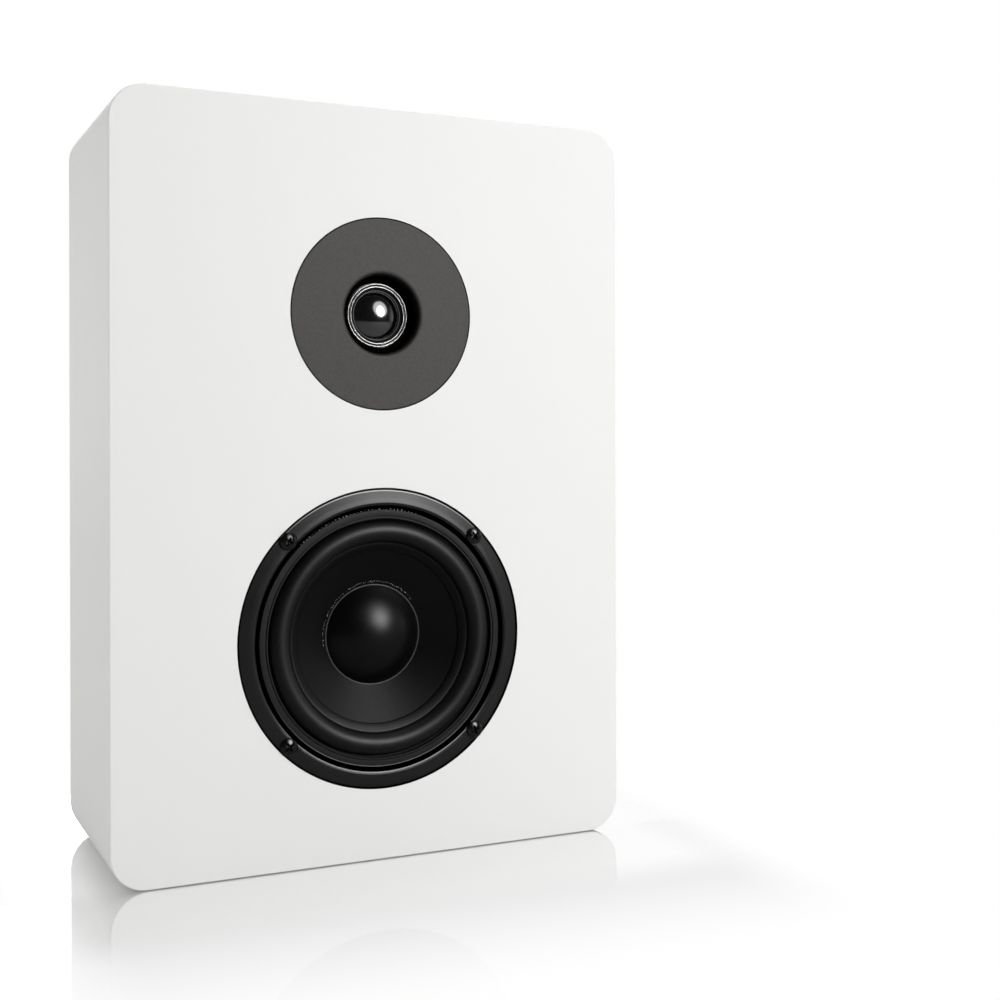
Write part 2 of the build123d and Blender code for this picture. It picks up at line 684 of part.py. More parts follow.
def woofer_terminal_board():
    length, thickness, height = TERMINAL_BOARD
    x = woofer_board_x()
    board = block((x, x + length), (0, thickness), (-height / 2, height / 2))
    tab = block((x + length - 1, x + length + TAB_L), (thickness, thickness + TAB_T), (-TAB_W / 2, TAB_W / 2))
    tabs = [Pos(0, 0, side * TAB_PITCH / 2) * tab for side in (-1, 1)]
    return WOOFER * Pos(0, TERMINAL_BOARD_U, 0) * (board + tabs)


def woofer_tinsel_leads():
    """Braided leads from the terminal board, through the frame's windows, to the back of the cone."""
    start_x = woofer_board_x() + TERMINAL_BOARD[0] * 0.4
    start_u = TERMINAL_BOARD_U - SEAT_GAP
    end_r = CAP_R - 2
    end_u = cone_front(end_r) + CONE_T + TINSEL_SEAT
    leads = []
    for side in (-1, 1):
        z = side * TINSEL_HALF_SPACING
        points = [
            (start_x, start_u, z),
            (start_x - 1, start_u - 5, z),
            (start_x - 10, start_u - 8, z),
            (end_r + 8, end_u + 3, z * 0.9),
            (end_r, end_u, z * 0.7),
        ]
        leads.append(WOOFER * lead(points, TINSEL_D))
    return together(leads)


def tweeter_screw_places():
    return around(TWEETER_SCREWS, TWEETER_SCREW_CIRCLE_R, 45)


def tweeter_peg_places():
    return around(PLATE_PEGS, PEG_CIRCLE_R)


def tweeter_faceplate():
    """Flush round plate with the horn throat, and pegs that press into the chassis."""
    tube_r = THROAT_R + THROAT_WALL
    floor_back = MOTOR_FACE_U - DOME_RING_FIT
    plate_body = turned(
        (THROAT_R, 0, THROAT_LIP_R),
        (TWEETER_PLATE_OUT_R, 0, PLATE_EDGE_R),
        (TWEETER_PLATE_OUT_R, TWEETER_PLATE_T),
        (tube_r, TWEETER_PLATE_T),
        (tube_r, floor_back),
        (DOME_RING_R[1] + DOME_RING_FIT, floor_back),
        (DOME_RING_R[1] + DOME_RING_FIT, THROAT_FLOOR_U, THROAT_HOLE_EDGE_R),
        (THROAT_FLOOR_R, THROAT_FLOOR_U, THROAT_FLOOR_EDGE_R),
    )
    peg = rod(PEG_R, TWEETER_PLATE_T - 1, TWEETER_PLATE_T + PEG_L)
    return TWEETER * (plate_body + [place * peg for place in tweeter_peg_places()])


def tweeter_chassis():
    bore = THROAT_R + THROAT_WALL + CHASSIS_FIT
    start = TWEETER_PLATE_T
    body = turned(
        (bore, start),
        (TWEETER_PLATE_OUT_R, start),
        (TWEETER_PLATE_OUT_R, start + CHASSIS_T),
        (HUB_R, start + CHASSIS_T),
        (HUB_R, MOTOR_FACE_U),
        (bore, MOTOR_FACE_U),
    )
    head = rod(TWEETER_SCREW_HEAD_R + POCKET_GAP, 0, start + TWEETER_SCREW_HEAD_H + POCKET_GAP)
    shank = rod(TWEETER_SCREW_R + THREAD_GAP, 0, start + CHASSIS_T + OVERCUT)
    peg_hole = rod(PEG_R + THREAD_GAP, 0, start + CHASSIS_T + OVERCUT)
    cuts = [place * (head + shank) for place in tweeter_screw_places()]
    cuts += [place * peg_hole for place in tweeter_peg_places()]
    return TWEETER * (body - cuts)


def tweeter_gasket():
    start = TWEETER_PLATE_T + CHASSIS_T
    ring = tube((TWEETER_CUTOUT_R, TWEETER_PLATE_OUT_R), start, start + TWEETER_GASKET_T)
    hole = rod(TWEETER_SCREW_R + THREAD_GAP, 0, TWEETER_RECESS_U + OVERCUT)
    return TWEETER * (ring - [place * hole for place in tweeter_screw_places()])


def tweeter_screws():
    cross = TWEETER_SCREW_HEAD_R * 1.2
    screw = pan_screw(TWEETER_SCREW_HEAD_R, TWEETER_SCREW_HEAD_H, TWEETER_SCREW_R, TWEETER_SCREW_L, cross)
    seat = Pos(0, TWEETER_PLATE_T + TWEETER_SCREW_HEAD_H + POCKET_GAP, 0)
    return together([TWEETER * place * seat * screw for place in tweeter_screw_places()])


def tweeter_dome():
    return TWEETER * shell_cap(DOME_R, DOME_RIM_U, DOME_RISE, DOME_T)


def tweeter_surround():
    foot_u = MOTOR_FACE_U - DOME_SKIN_T
    radii = (DOME_R + DOME_SEAT_GAP, DOME_RING_R[0] - POCKET_GAP)
    section = roll_section(radii, foot_u, foot_u - DOME_ROLL_RISE, DOME_SKIN_T)
    flange = [
        (radii[1] - 0.35, foot_u),
        (DOME_RING_R[1], foot_u),
        (DOME_RING_R[1], MOTOR_FACE_U),
        (radii[1] - 0.35, MOTOR_FACE_U),
    ]
    section += make_face(Polyline(*flange, close=True))
    return TWEETER * revolve(section, Axis.Y)


def tweeter_dome_ring():
    """Polished ring with a fine groove between its two beads."""
    inner, outer = DOME_RING_R
    front, back = DOME_RING_FRONT_U, MOTOR_FACE_U - DOME_SKIN_T
    groove_r = inner + (outer - inner) * 0.6
    return TWEETER * turned(
        (inner, back),
        (inner, front + 1.2),
        (inner + 0.5, front + 0.15, 0.3),
        (groove_r - 0.2, front, 0.2),
        (groove_r, front + 0.4),
        (groove_r + 0.2, front, 0.2),
        (outer, front, 0.4),
        (outer, back),
    )


def tweeter_voice_coil():
    start = DOME_RIM_U + GLUE
    inner, outer = TWEETER_COIL_R
    skin = inner + TWEETER_COIL_SKIN_T
    wire = start + TWEETER_COIL_SKIN_L
    return TWEETER * turned(
        (inner, start),
        (skin, start),
        (skin, wire),
        (outer, wire),
        (outer, start + TWEETER_COIL_L),
        (inner, start + TWEETER_COIL_L),
    )


def tweeter_top_plate():
    radii = (TWEETER_COIL_R[1] + TWEETER_GAP, TWEETER_PLATE_R)
    return TWEETER * tube(radii, MOTOR_FACE_U, MOTOR_FACE_U + TWEETER_TOP_T)


def tweeter_magnet():
    start = MOTOR_FACE_U + TWEETER_TOP_T
    return TWEETER * tube(TWEETER_MAGNET_R, start, start + TWEETER_MAGNET_T)


def tweeter_yoke():
    pole_r = TWEETER_COIL_R[0] - TWEETER_GAP
    pole_u = MOTOR_FACE_U + TWEETER_TRAVEL
    return TWEETER * turned(
        (TWEETER_VENT_R, pole_u),
        (pole_r, pole_u, 0.5),
        (pole_r, TWEETER_YOKE_U),
        (TWEETER_PLATE_R, TWEETER_YOKE_U),
        (TWEETER_PLATE_R, TWEETER_BACK_U, 1.0),
        (TWEETER_VENT_R, TWEETER_BACK_U),
    )


def tweeter_rear_cup():
    end = TWEETER_BACK_U + REAR_CUP_L
    return TWEETER * turned(
        (REAR_CUP_R - REAR_CUP_WALL, TWEETER_BACK_U),
        (REAR_CUP_R, TWEETER_BACK_U),
        (REAR_CUP_R, end, 3),
        (0, end),
        (0, end - REAR_CUP_WALL),
        (REAR_CUP_R - REAR_CUP_WALL, end - REAR_CUP_WALL, 1),
    )


def tweeter_tab_x():
    return (REAR_CUP_R + TWEETER_PLATE_R) / 2


def tweeter_terminals():
    x = tweeter_tab_x()
    half = (TWEETER_PLATE_R - REAR_CUP_R) / 2 - 1
    base = block((x - half, x + half), (0, TWEETER_BLOCK_T), (-TWEETER_BLOCK_H / 2, TWEETER_BLOCK_H / 2))
    reach = (TWEETER_BLOCK_T / 2, TWEETER_BLOCK_T + TAB_L)
    tab = block((x - TAB_T / 2, x + TAB_T / 2), reach, (-TAB_W / 2, TAB_W / 2))
    tabs = [Pos(0, 0, side * TAB_PITCH / 2) * tab for side in (-1, 1)]
    return TWEETER * Pos(0, TWEETER_BACK_U, 0) * (base + tabs)


def cup_screw_places():
    x, z = CUP_FLANGE_W / 2 - CUP_SCREW_INSET, CUP_FLANGE_H / 2 - CUP_SCREW_INSET
    return [Pos(sx * x, 0, TERMINAL_Z + sz * z) for sx in (-1, 1) for sz in (-1, 1)]


def terminal_cup():
    """Recessed dish with a flush flange and two holes in its floor for the posts."""
    flange_y = REAR_Y - CUP_FLANGE_T
    dish = plate(CUP_FLANGE_W, CUP_FLANGE_H, CUP_CORNER_R, flange_y, REAR_Y)
    dish += plate(CUP_W, CUP_H, CUP_CORNER_R, CUP_INNER_Y, REAR_Y)
    inner_w, inner_h = CUP_W - 2 * CUP_WALL, CUP_H - 2 * CUP_WALL
    dish -= plate(inner_w, inner_h, CUP_CORNER_R - CUP_WALL, CUP_FLOOR_Y, REAR_Y + OVERCUT)
    shank_hole = rod(POST_SHANK_R + POCKET_GAP, CUP_INNER_Y - OVERCUT, REAR_Y)
    dish -= [Pos(x, 0, 0) * shank_hole for x in POST_X.values()]
    dish = Pos(0, 0, TERMINAL_Z) * dish
    hole = flat_screw_hole(SMALL_SCREW_HEAD_R, SMALL_SCREW_R, SMALL_SCREW_L)
    return dish - [place * Pos(0, REAR_Y, 0) * Rot(Z=180) * hole for place in cup_screw_places()]


def terminal_cup_gasket():
    back = REAR_Y - CUP_FLANGE_T
    front = back - CUP_GASKET_T
    ring = plate(CUP_FLANGE_W, CUP_FLANGE_H, CUP_CORNER_R, front, back)
    ring -= plate(CUP_W + PANEL_GAP, CUP_H + PANEL_GAP, CUP_CORNER_R, front - OVERCUT, back + OVERCUT)
    hole = rod(SMALL_SCREW_R + THREAD_GAP, front - OVERCUT, back + OVERCUT)
    return Pos(0, 0, TERMINAL_Z) * ring - [place * hole for place in cup_screw_places()]


def rear_screws(places):
    screw = flat_screw(SMALL_SCREW_HEAD_R, SMALL_SCREW_R, SMALL_SCREW_L, SMALL_SCREW_HEAD_R * 1.1)
    return together([place * Pos(0, REAR_Y, 0) * Rot(Z=180) * screw for place in places])


def post_place(colour):
    return Pos(POST_X[colour], CUP_FLOOR_Y, TERMINAL_Z)


def post_stem(colour):
    """Metal post with a collar on the floor, a hole across it for bare wire and a socket for a plug."""
    stem = turned(
        (0, -CUP_WALL - POST_SHANK_L),
        (POST_SHANK_R, -CUP_WALL - POST_SHANK_L, 0.4),
        (POST_SHANK_R, 0),
        (POST_COLLAR_R, 0),
        (POST_COLLAR_R, POST_COLLAR_T, 0.3),
        (POST_R, POST_COLLAR_T),
        (POST_R, POST_L, 0.4),
        (BANANA_R, POST_L),
        (BANANA_R, POST_L - BANANA_DEPTH),
        (0, POST_L - BANANA_DEPTH),
    )
    wire_y = POST_COLLAR_T + WIRE_HOLE_R + WIRE_HOLE_LIFT
    wire_hole = Pos(0, wire_y, 0) * Cylinder(WIRE_HOLE_R, 3 * POST_R)
    return post_place(colour) * (stem - wire_hole)


def post_washer(colour):
    start = POST_COLLAR_T + WASHER_PLAY
    return post_place(colour) * tube((POST_R + CAP_NUT_FIT, WASHER_R), start, start + WASHER_T)


def post_cap(colour):
    """Insulated cap nut, with a mouth for a plug at its end."""
    start = POST_COLLAR_T + WASHER_T + 2 * WASHER_PLAY
    end = start + CAP_NUT_L
    bore = POST_R + CAP_NUT_FIT
    return post_place(colour) * turned(
        (bore, start),
        (CAP_NUT_R - CAP_NUT_BEVEL, start),
        (CAP_NUT_R, start + CAP_NUT_BEVEL),
        (CAP_NUT_R, end, CAP_NUT_END_R),
        (CAP_NUT_MOUTH_R, end, 0.3),
        (CAP_NUT_MOUTH_R, end - CAP_NUT_LIP_T),
        (bore, end - CAP_NUT_LIP_T),
    )


def post_nuts():
    start = -CUP_WALL - TAG_T - POST_NUT_T
    outline = Plane.XZ * RegularPolygon(POST_NUT_AF / 2, 6, major_radius=False)
    nut = Pos(0, start, 0) * extrude(outline, amount=POST_NUT_T, dir=(0, 1, 0))
    nut -= rod(POST_SHANK_R + THREAD_GAP, start - OVERCUT, 0)
    return together([post_place(colour) * nut for colour in POST_X])


def post_tags():
    back, front = -CUP_WALL, -CUP_WALL - TAG_T
    tag = rod(TAG_W, front, back) + block((-TAG_W / 2, TAG_W / 2), (front, back), (0, TAG_L))
    tag -= rod(POST_SHANK_R + THREAD_GAP, front - OVERCUT, back + OVERCUT)
    return together([post_place(colour) * tag for colour in POST_X])


def keyhole_places():
    return [Pos(side * KEYHOLE_X, 0, KEYHOLE_Z) for side in (-1, 1)]


def keyhole_screw_places():
    offset = KEYHOLE_PLATE[2] / 2 - KEYHOLE_SCREW_INSET
    return [place * Pos(0, 0, side * offset) for place in keyhole_places() for side in (-1, 1)]


def keyhole_plates():
    """Flush steel plates with an opening for a screw head below a slot for its neck."""
    width, thickness, height = KEYHOLE_PLATE
    start = REAR_Y - thickness
    blank = plate(width, height, KEYHOLE_CORNER_R, start, REAR_Y)
    entry_z = -KEYHOLE_SLOT_L / 2
    slot_end_z = entry_z + KEYHOLE_SLOT_L
    slot_half = KEYHOLE_SLOT_W / 2
    through = (start - OVERCUT, REAR_Y + OVERCUT)
    blank -= Pos(0, 0, entry_z) * rod(KEYHOLE_HEAD_R, *through)
    blank -= block((-slot_half, slot_half), through, (entry_z, slot_end_z))
    blank -= Pos(0, 0, slot_end_z) * rod(slot_half, *through)
    hole = flat_screw_hole(SMALL_SCREW_HEAD_R, SMALL_SCREW_R, SMALL_SCREW_L)
    holes = [place * Pos(0, REAR_Y, 0) * Rot(Z=180) * hole for place in keyhole_screw_places()]
    return together([place * blank - holes for place in keyhole_places()])


def board_screw_places():
    x, z = BOARD_W / 2 - BOARD_HOLE_INSET, BOARD_H / 2 - BOARD_HOLE_INSET
    return [Pos(BOARD_X + sx * x, 0, BOARD_Z + sz * z) for sx in (-1, 1) for sz in (-1, 1)]


def board_tabs():
    """Places of the board's input, woofer and tweeter tabs, as (across, up) from its middle."""
    left = -BOARD_W / 2 + BOARD_TAB_INSET
    low = -BOARD_H / 2 + BOARD_MARGIN
    high = BOARD_H / 2 - BOARD_TAB_TOP
    return {
        "input": [(left, INPUT_TAB_UP), (left, INPUT_TAB_UP - TAB_PITCH)],
        "woofer": [(-TAB_PITCH / 2, low), (TAB_PITCH / 2, low)],
        "tweeter": [(left, high), (left, high - TAB_PITCH)],
    }


def crossover_board():
    half_w, half_h = BOARD_W / 2, BOARD_H / 2
    across = (BOARD_X - half_w, BOARD_X + half_w)
    up = (BOARD_Z - half_h, BOARD_Z + half_h)
    board = block(across, (BOARD_Y, BOARD_Y + BOARD_T), up)
    hole = rod(BOARD_SCREW_R + THREAD_GAP, BOARD_Y - OVERCUT, BOARD_Y + BOARD_T + OVERCUT)
    return board - [place * hole for place in board_screw_places()]


def crossover_tabs():
    tab = block((-TAB_T / 2, TAB_T / 2), (BOARD_Y - TAB_L, BOARD_Y), (-TAB_W / 2, TAB_W / 2))
    places = [place for pair in board_tabs().values() for place in pair]
    return together([Pos(BOARD_X + x, 0, BOARD_Z + z) * tab for x, z in places])


def crossover_standoffs():
    spacer = tube((BOARD_SCREW_R + THREAD_GAP, STANDOFF_R), BOARD_Y + BOARD_T, INNER_REAR_Y)
    return together([place * spacer for place in board_screw_places()])


def crossover_screws():
    length = BOARD_T + STANDOFF_L + BOARD_SCREW_BITE
    screw = pan_screw(BOARD_SCREW_HEAD_R, BOARD_SCREW_HEAD_H, BOARD_SCREW_R, length, BOARD_SCREW_HEAD_R * 1.2)
    return together([place * Pos(0, BOARD_Y, 0) * screw for place in board_screw_places()])


def crossover_inductors():
    """Air-cored coils: the woofer's stands on its end and the tweeter's lies on its side."""
    across, up = WOOFER_COIL_AT
    inner, outer, length = WOOFER_COIL
    standing = Pos(BOARD_X + across, 0, BOARD_Z + up) * tube((inner, outer), BOARD_Y - length, BOARD_Y)
    across, up = TWEETER_COIL_AT
    inner, outer, length = TWEETER_COIL
    lying = Rot(Z=90) * tube((inner, outer), -length / 2, length / 2)
    lying = Pos(BOARD_X + across, BOARD_Y - outer - SEAT_GAP, BOARD_Z + up) * lying
    return together([standing, lying])


def crossover_capacitors():
    bodies = []
    layout = ((WOOFER_CAP, WOOFER_CAP_AT, 90), (TWEETER_CAP, TWEETER_CAP_AT, 0))
    for (radius, length), (across, up), turn in layout:
        body = Rot(Y=turn) * Rot(Z=90) * turned(
            (0, -length / 2),
            (radius, -length / 2, 1),
            (radius, length / 2, 1),
            (0, length / 2),
        )
        bodies.append(Pos(BOARD_X + across, BOARD_Y - radius - SEAT_GAP, BOARD_Z + up) * body)
    return together(bodies)


def crossover_resistors():
    length, depth, height = RESISTOR
    body = block((-length / 2, length / 2), (BOARD_Y - depth, BOARD_Y), (-height / 2, height / 2))
    return together([Pos(BOARD_X + RESISTOR_X, 0, BOARD_Z + up) * body for up in RESISTOR_UP])


def input_leads():
    """From the tags on the posts to the crossover."""
    leads = []
    for colour, (x, z) in zip(POST_X, reversed(board_tabs()["input"])):
        start_z = TERMINAL_Z + TAG_L - TAB_GRIP
        start_y = CUP_INNER_Y - TAG_T - LEAD_D / 2 - SEAT_GAP
        end = (BOARD_X + x - TAB_T / 2 - LEAD_D / 2 - SEAT_GAP, BOARD_Y - TAB_L / 2, BOARD_Z + z)
        points = [
            (POST_X[colour], start_y, start_z),
            (POST_X[colour] + 2, start_y, start_z + 7),
            (CUP_W / 2 + LEAD_D, start_y, end[2] - 2),
            (end[0] - 5, end[1] - 1, end[2] + 0.5),
            end,
        ]
        leads.append(lead(points, LEAD_D))
    return together(leads)


def woofer_leads():
    """From the crossover down to the woofer's tabs."""
    tab_x = woofer_board_x() + TERMINAL_BOARD[0] + TAB_L - TAB_GRIP
    tab_y = FRONT_Y + TERMINAL_BOARD_U + TERMINAL_BOARD[1] + TAB_T + LEAD_D / 2 + SEAT_GAP
    leads = []
    for k, side in enumerate((1, -1)):
        x, z = board_tabs()["woofer"][k]
        start = (BOARD_X + x, BOARD_Y - TAB_L - LEAD_D / 2 - SEAT_GAP, BOARD_Z + z)
        end = (tab_x, tab_y, WOOFER_Z + side * TAB_PITCH / 2)
        reach = start[2] - end[2]
        points = [
            start,
            (start[0] + 1, start[1] - 3, start[2] - reach * 0.25),
            (start[0] + 3 + 4 * k, start[1] - 12, start[2] - reach * 0.6),
            (end[0] + 14 + 6 * k, end[1] + 6, end[2] + reach * 0.12),
            (end[0] + 10, end[1] + 1, end[2]),
            end,
        ]
        leads.append(lead(points, LEAD_D))
    return together(leads)


def tweeter_leads():
    """From the crossover up and across to the tweeter's tabs."""
    tab_x = tweeter_tab_x() + TAB_T / 2 + LEAD_D / 2 + SEAT_GAP
    tab_y = FRONT_Y + TWEETER_BACK_U + TWEETER_BLOCK_T + TAB_L - TAB_GRIP
    leads = []
    for k, side in enumerate((1, -1)):
        x, z = board_tabs()["tweeter"][k]
        start = (BOARD_X + x - TAB_T / 2 - LEAD_D / 2 - SEAT_GAP, BOARD_Y - TAB_L / 2, BOARD_Z + z)
        end = (tab_x, tab_y, TWEETER_Z + side * TAB_PITCH / 2)
        points = [
            start,
            (start[0] - 3, start[1] - 6, start[2] + 2),
            (start[0] - 4, (start[1] + end[1]) / 2, (start[2] + end[2]) / 2 + 5),
            (end[0] + 5, end[1] + 8, end[2] + 1),
            end,
        ]
        leads.append(lead(points, LEAD_D))
    return together(leads)


def speaker():
    """Every separate piece, by the name of its node."""
    pieces = {"front_baffle": front_baffle(), **wrap_panels(), "rear_panel": rear_panel()}
    single = [
        damping_felt,
        grille_magnets,
        woofer_basket,
        woofer_gasket,
        woofer_clamp_ring,
        woofer_surround,
        woofer_cone,
        woofer_dust_cap,
        woofer_coil_former,
        woofer_voice_coil,
        woofer_spider,
        woofer_top_plate,
        woofer_magnet,
        woofer_yoke,
        woofer_screws,
        woofer_terminal_board,
        woofer_tinsel_leads,
        tweeter_faceplate,
        tweeter_chassis,
        tweeter_gasket,
        tweeter_screws,
        tweeter_dome,
        tweeter_surround,
        tweeter_dome_ring,
        tweeter_voice_coil,
        tweeter_top_plate,
        tweeter_magnet,
        tweeter_yoke,
        tweeter_rear_cup,
        tweeter_terminals,
        terminal_cup,
        terminal_cup_gasket,
        post_nuts,
        post_tags,
        keyhole_plates,
        crossover_board,
        crossover_tabs,
        crossover_standoffs,
        crossover_screws,
        crossover_inductors,
        crossover_capacitors,
        crossover_resistors,
        input_leads,
        woofer_leads,
        tweeter_leads,
    ]
    for make in single:
        pieces[make.__name__] = make()
    pieces["terminal_cup_screws"] = rear_screws(cup_screw_places())
    pieces["keyhole_screws"] = rear_screws(keyhole_screw_places())
    for colour in POST_X:
        pieces[f"{colour}_post_stem"] = post_stem(colour)
        pieces[f"{colour}_post_washer"] = post_washer(colour)
        pieces[f"{colour}_post_cap"] = post_cap(colour)
    return pieces


os.makedirs("parts", exist_ok=True)
for node, piece in speaker().items():
    export_step(piece, f"parts/{node}.step")
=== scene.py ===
"""Looks of a two-way bookshelf speaker, laid out as an add-on: each operator finishes a group of pieces."""

import math

import bmesh
import bpy
from bpy.props import FloatProperty, FloatVectorProperty, IntProperty, PointerProperty
from mathutils import Matrix, Vector, noise
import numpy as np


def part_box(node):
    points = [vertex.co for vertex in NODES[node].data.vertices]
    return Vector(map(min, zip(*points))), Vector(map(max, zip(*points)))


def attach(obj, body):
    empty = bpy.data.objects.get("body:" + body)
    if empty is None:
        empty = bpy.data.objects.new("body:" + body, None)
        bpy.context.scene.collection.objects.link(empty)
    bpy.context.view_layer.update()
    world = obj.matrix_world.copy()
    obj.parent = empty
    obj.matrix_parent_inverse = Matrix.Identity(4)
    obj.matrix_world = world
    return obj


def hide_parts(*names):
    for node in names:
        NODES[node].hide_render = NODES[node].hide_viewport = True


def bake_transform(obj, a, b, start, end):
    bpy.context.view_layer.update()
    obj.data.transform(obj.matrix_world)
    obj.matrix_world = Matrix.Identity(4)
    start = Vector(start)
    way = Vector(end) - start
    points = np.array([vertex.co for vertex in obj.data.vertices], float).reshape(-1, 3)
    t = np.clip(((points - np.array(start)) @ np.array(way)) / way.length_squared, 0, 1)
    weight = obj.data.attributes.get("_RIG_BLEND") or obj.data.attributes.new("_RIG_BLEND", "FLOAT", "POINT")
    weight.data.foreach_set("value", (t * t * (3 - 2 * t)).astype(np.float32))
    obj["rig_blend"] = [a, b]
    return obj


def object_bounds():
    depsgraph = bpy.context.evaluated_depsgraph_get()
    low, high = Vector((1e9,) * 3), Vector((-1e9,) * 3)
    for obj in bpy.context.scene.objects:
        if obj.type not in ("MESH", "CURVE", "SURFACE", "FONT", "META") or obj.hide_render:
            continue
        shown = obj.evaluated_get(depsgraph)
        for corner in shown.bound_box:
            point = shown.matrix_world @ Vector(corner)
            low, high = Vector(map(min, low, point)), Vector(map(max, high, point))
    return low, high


bl_info = {
    "name": "Bookshelf Speaker",
    "version": (1, 0, 0),
    "blender": (4, 5, 0),
    "location": "View3D > Sidebar > Speaker",
    "description": "Finishes the packed speaker: paint, rubber, plastics, metals, hardware and a studio",
    "category": "Object",
}

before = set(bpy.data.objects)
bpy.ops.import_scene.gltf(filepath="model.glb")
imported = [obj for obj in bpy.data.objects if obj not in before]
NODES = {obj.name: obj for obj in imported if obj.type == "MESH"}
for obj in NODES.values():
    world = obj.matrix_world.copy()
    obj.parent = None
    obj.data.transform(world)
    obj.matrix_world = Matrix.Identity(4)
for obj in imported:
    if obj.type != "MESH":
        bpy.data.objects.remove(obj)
CAD_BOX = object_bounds()
MM = 0.001  # Sizes below are in millimetres, unless a comment says metres.


def middle(node):
    """Middle of a CAD node's box."""
    low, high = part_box(node)
    return (low + high) / 2


def half_width(node):
    """Half the width of a CAD node's box, in millimetres: the radius of a turned piece."""
    low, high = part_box(node)
    return (high.x - low.x) / 2 / MM


def depths(node):
    """Front and back of a CAD node, in millimetres behind the front of the baffle."""
    low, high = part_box(node)
    return (low.y - FRONT_Y) / MM, (high.y - FRONT_Y) / MM


FRONT_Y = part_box("front_baffle")[0].y
WOOFER_AXIS = Vector((middle("woofer_basket").x, FRONT_Y, middle("woofer_basket").z))
TWEETER_AXIS = Vector((middle("tweeter_faceplate").x, FRONT_Y, middle("tweeter_faceplate").z))
TURN_STEPS = 192
SHARP_ANGLE = math.radians(32)
# For meshes, which are in metres: vertices this close are one, and places are sorted to these digits.
MERGE_DISTANCE = 1e-6
SORT_DIGITS = 4


def length(name, description, millimetres):
    """A size that the user can change, given in millimetres and held in metres."""
    return FloatProperty(
        name=name, description=description, default=millimetres * MM, min=0.0, unit="LENGTH", precision=5
    )


def colour(name, description, red, green, blue):
    """A colour that the user can change."""
    return FloatVectorProperty(
        name=name, description=description, default=(red, green, blue), min=0.0, max=1.0, subtype="COLOR"
    )


def power(name, description, watts):
    """Strength of a lamp that the user can change."""
    return FloatProperty(name=name, description=description, default=watts, min=0.0, unit="POWER")


def brightness(name, description, share):
    """Brightness of the surroundings that the user can change, where 1 is white."""
    return FloatProperty(name=name, description=description, default=share, min=0.0)


class SpeakerShapes(bpy.types.PropertyGroup):
    """Sizes of the pieces that are modelled here."""

    roll_inner: length("Roll inner radius", "Inner foot of the woofer's surround roll", 46.3)
    roll_outer: length("Roll outer radius", "Outer foot of the woofer's surround roll", 57.8)
    rubber: length("Surround thickness", "Thickness of the woofer's surround", 0.8)
    landing: length("Landing radius", "Inner edge of the surround's landing on the cone", 42.3)
    cone_wall: length("Cone thickness", "Thickness of the woofer's cone", 0.9)
    cap_wall: length("Dust cap thickness", "Thickness of the dust cap", 0.6)
    dome_wall: length("Dome thickness", "Thickness of the tweeter's dome", 0.3)
    glue_bead: length("Glue bead", "Thickness of the glue line round the dust cap", 0.7)
    flutes: IntProperty(
        name="Cap flutes", description="Grip flutes round a terminal cap", default=20, min=6, max=60
    )
    flute_depth: length("Flute depth", "Depth of the grip flutes on a terminal cap", 0.55)
    felt_lump: length("Felt unevenness", "How far the felt's surface wanders", 0.8)


class SpeakerColours(bpy.types.PropertyGroup):
    """Colours of the finishes."""

    cabinet: colour("Cabinet", "Satin paint of the cabinet", 0.85, 0.85, 0.84)
    ring: colour("Woofer frame", "Powder coat of the woofer's frame", 0.009, 0.009, 0.009)
    rubber: colour("Surround", "Rubber of the woofer's surround", 0.0015, 0.0015, 0.0015)
    cone: colour("Cone", "Filled plastic of the cone and dust cap", 0.001, 0.001, 0.001)
    plate: colour("Tweeter plate", "Textured plastic of the tweeter's plate", 0.049, 0.046, 0.043)
    dome: colour("Dome", "Lacquered dome of the tweeter", 0.001, 0.001, 0.001)
    glue: colour("Glue line", "Black glue at the rim of the dust cap", 0.06, 0.06, 0.06)
    drops: colour("Glue drops", "Dried drops of clear glue", 0.3, 0.3, 0.3)
    steel: colour("Plated steel", "Zinc plated small parts", 0.62, 0.62, 0.6)
    brass: colour("Plated brass", "Binding posts", 0.83, 0.62, 0.28)
    copper: colour("Copper", "Coils and braided leads", 0.74, 0.36, 0.18)
    positive: colour("Positive cap", "Insulation of the positive terminal", 0.5, 0.012, 0.01)
    negative: colour("Negative cap", "Insulation of the negative terminal", 0.012, 0.012, 0.012)
    black: colour("Black plastic", "Terminal cup and hidden mouldings", 0.018, 0.018, 0.018)
    felt: colour("Felt", "Damping felt inside the cabinet", 0.3, 0.3, 0.29)


class SpeakerStudio(bpy.types.PropertyGroup):
    """Strengths of the studio's lamps and surroundings."""

    key: power("Key softbox", "Softbox in front, to the right", 9.6)
    halo: power("Key halo", "Wide diffuser round the key softbox", 7.5)
    top: power("Top softbox", "Softbox above, behind the front", 7.0)
    back: power("Back softbox", "Softbox behind", 7.0)
    side: power("Side softbox", "Low softbox to the left", 1.7)
    fill: brightness("Fill", "Light from all around on matt surfaces", 0.26)
    room: brightness("Room", "Brightness of the room in front, in reflections", 0.015)


# Sockets that go by number, because their names repeat: the Mix node's for colours, and the
# random node's lowest, highest and result.
MIX_FACTOR = 0
MIX_COLOURS = (6, 7)
MIX_RESULT = 2
RANDOM_VECTOR = (0, 1, 0)
RANDOM_NUMBER = (2, 3, 1)


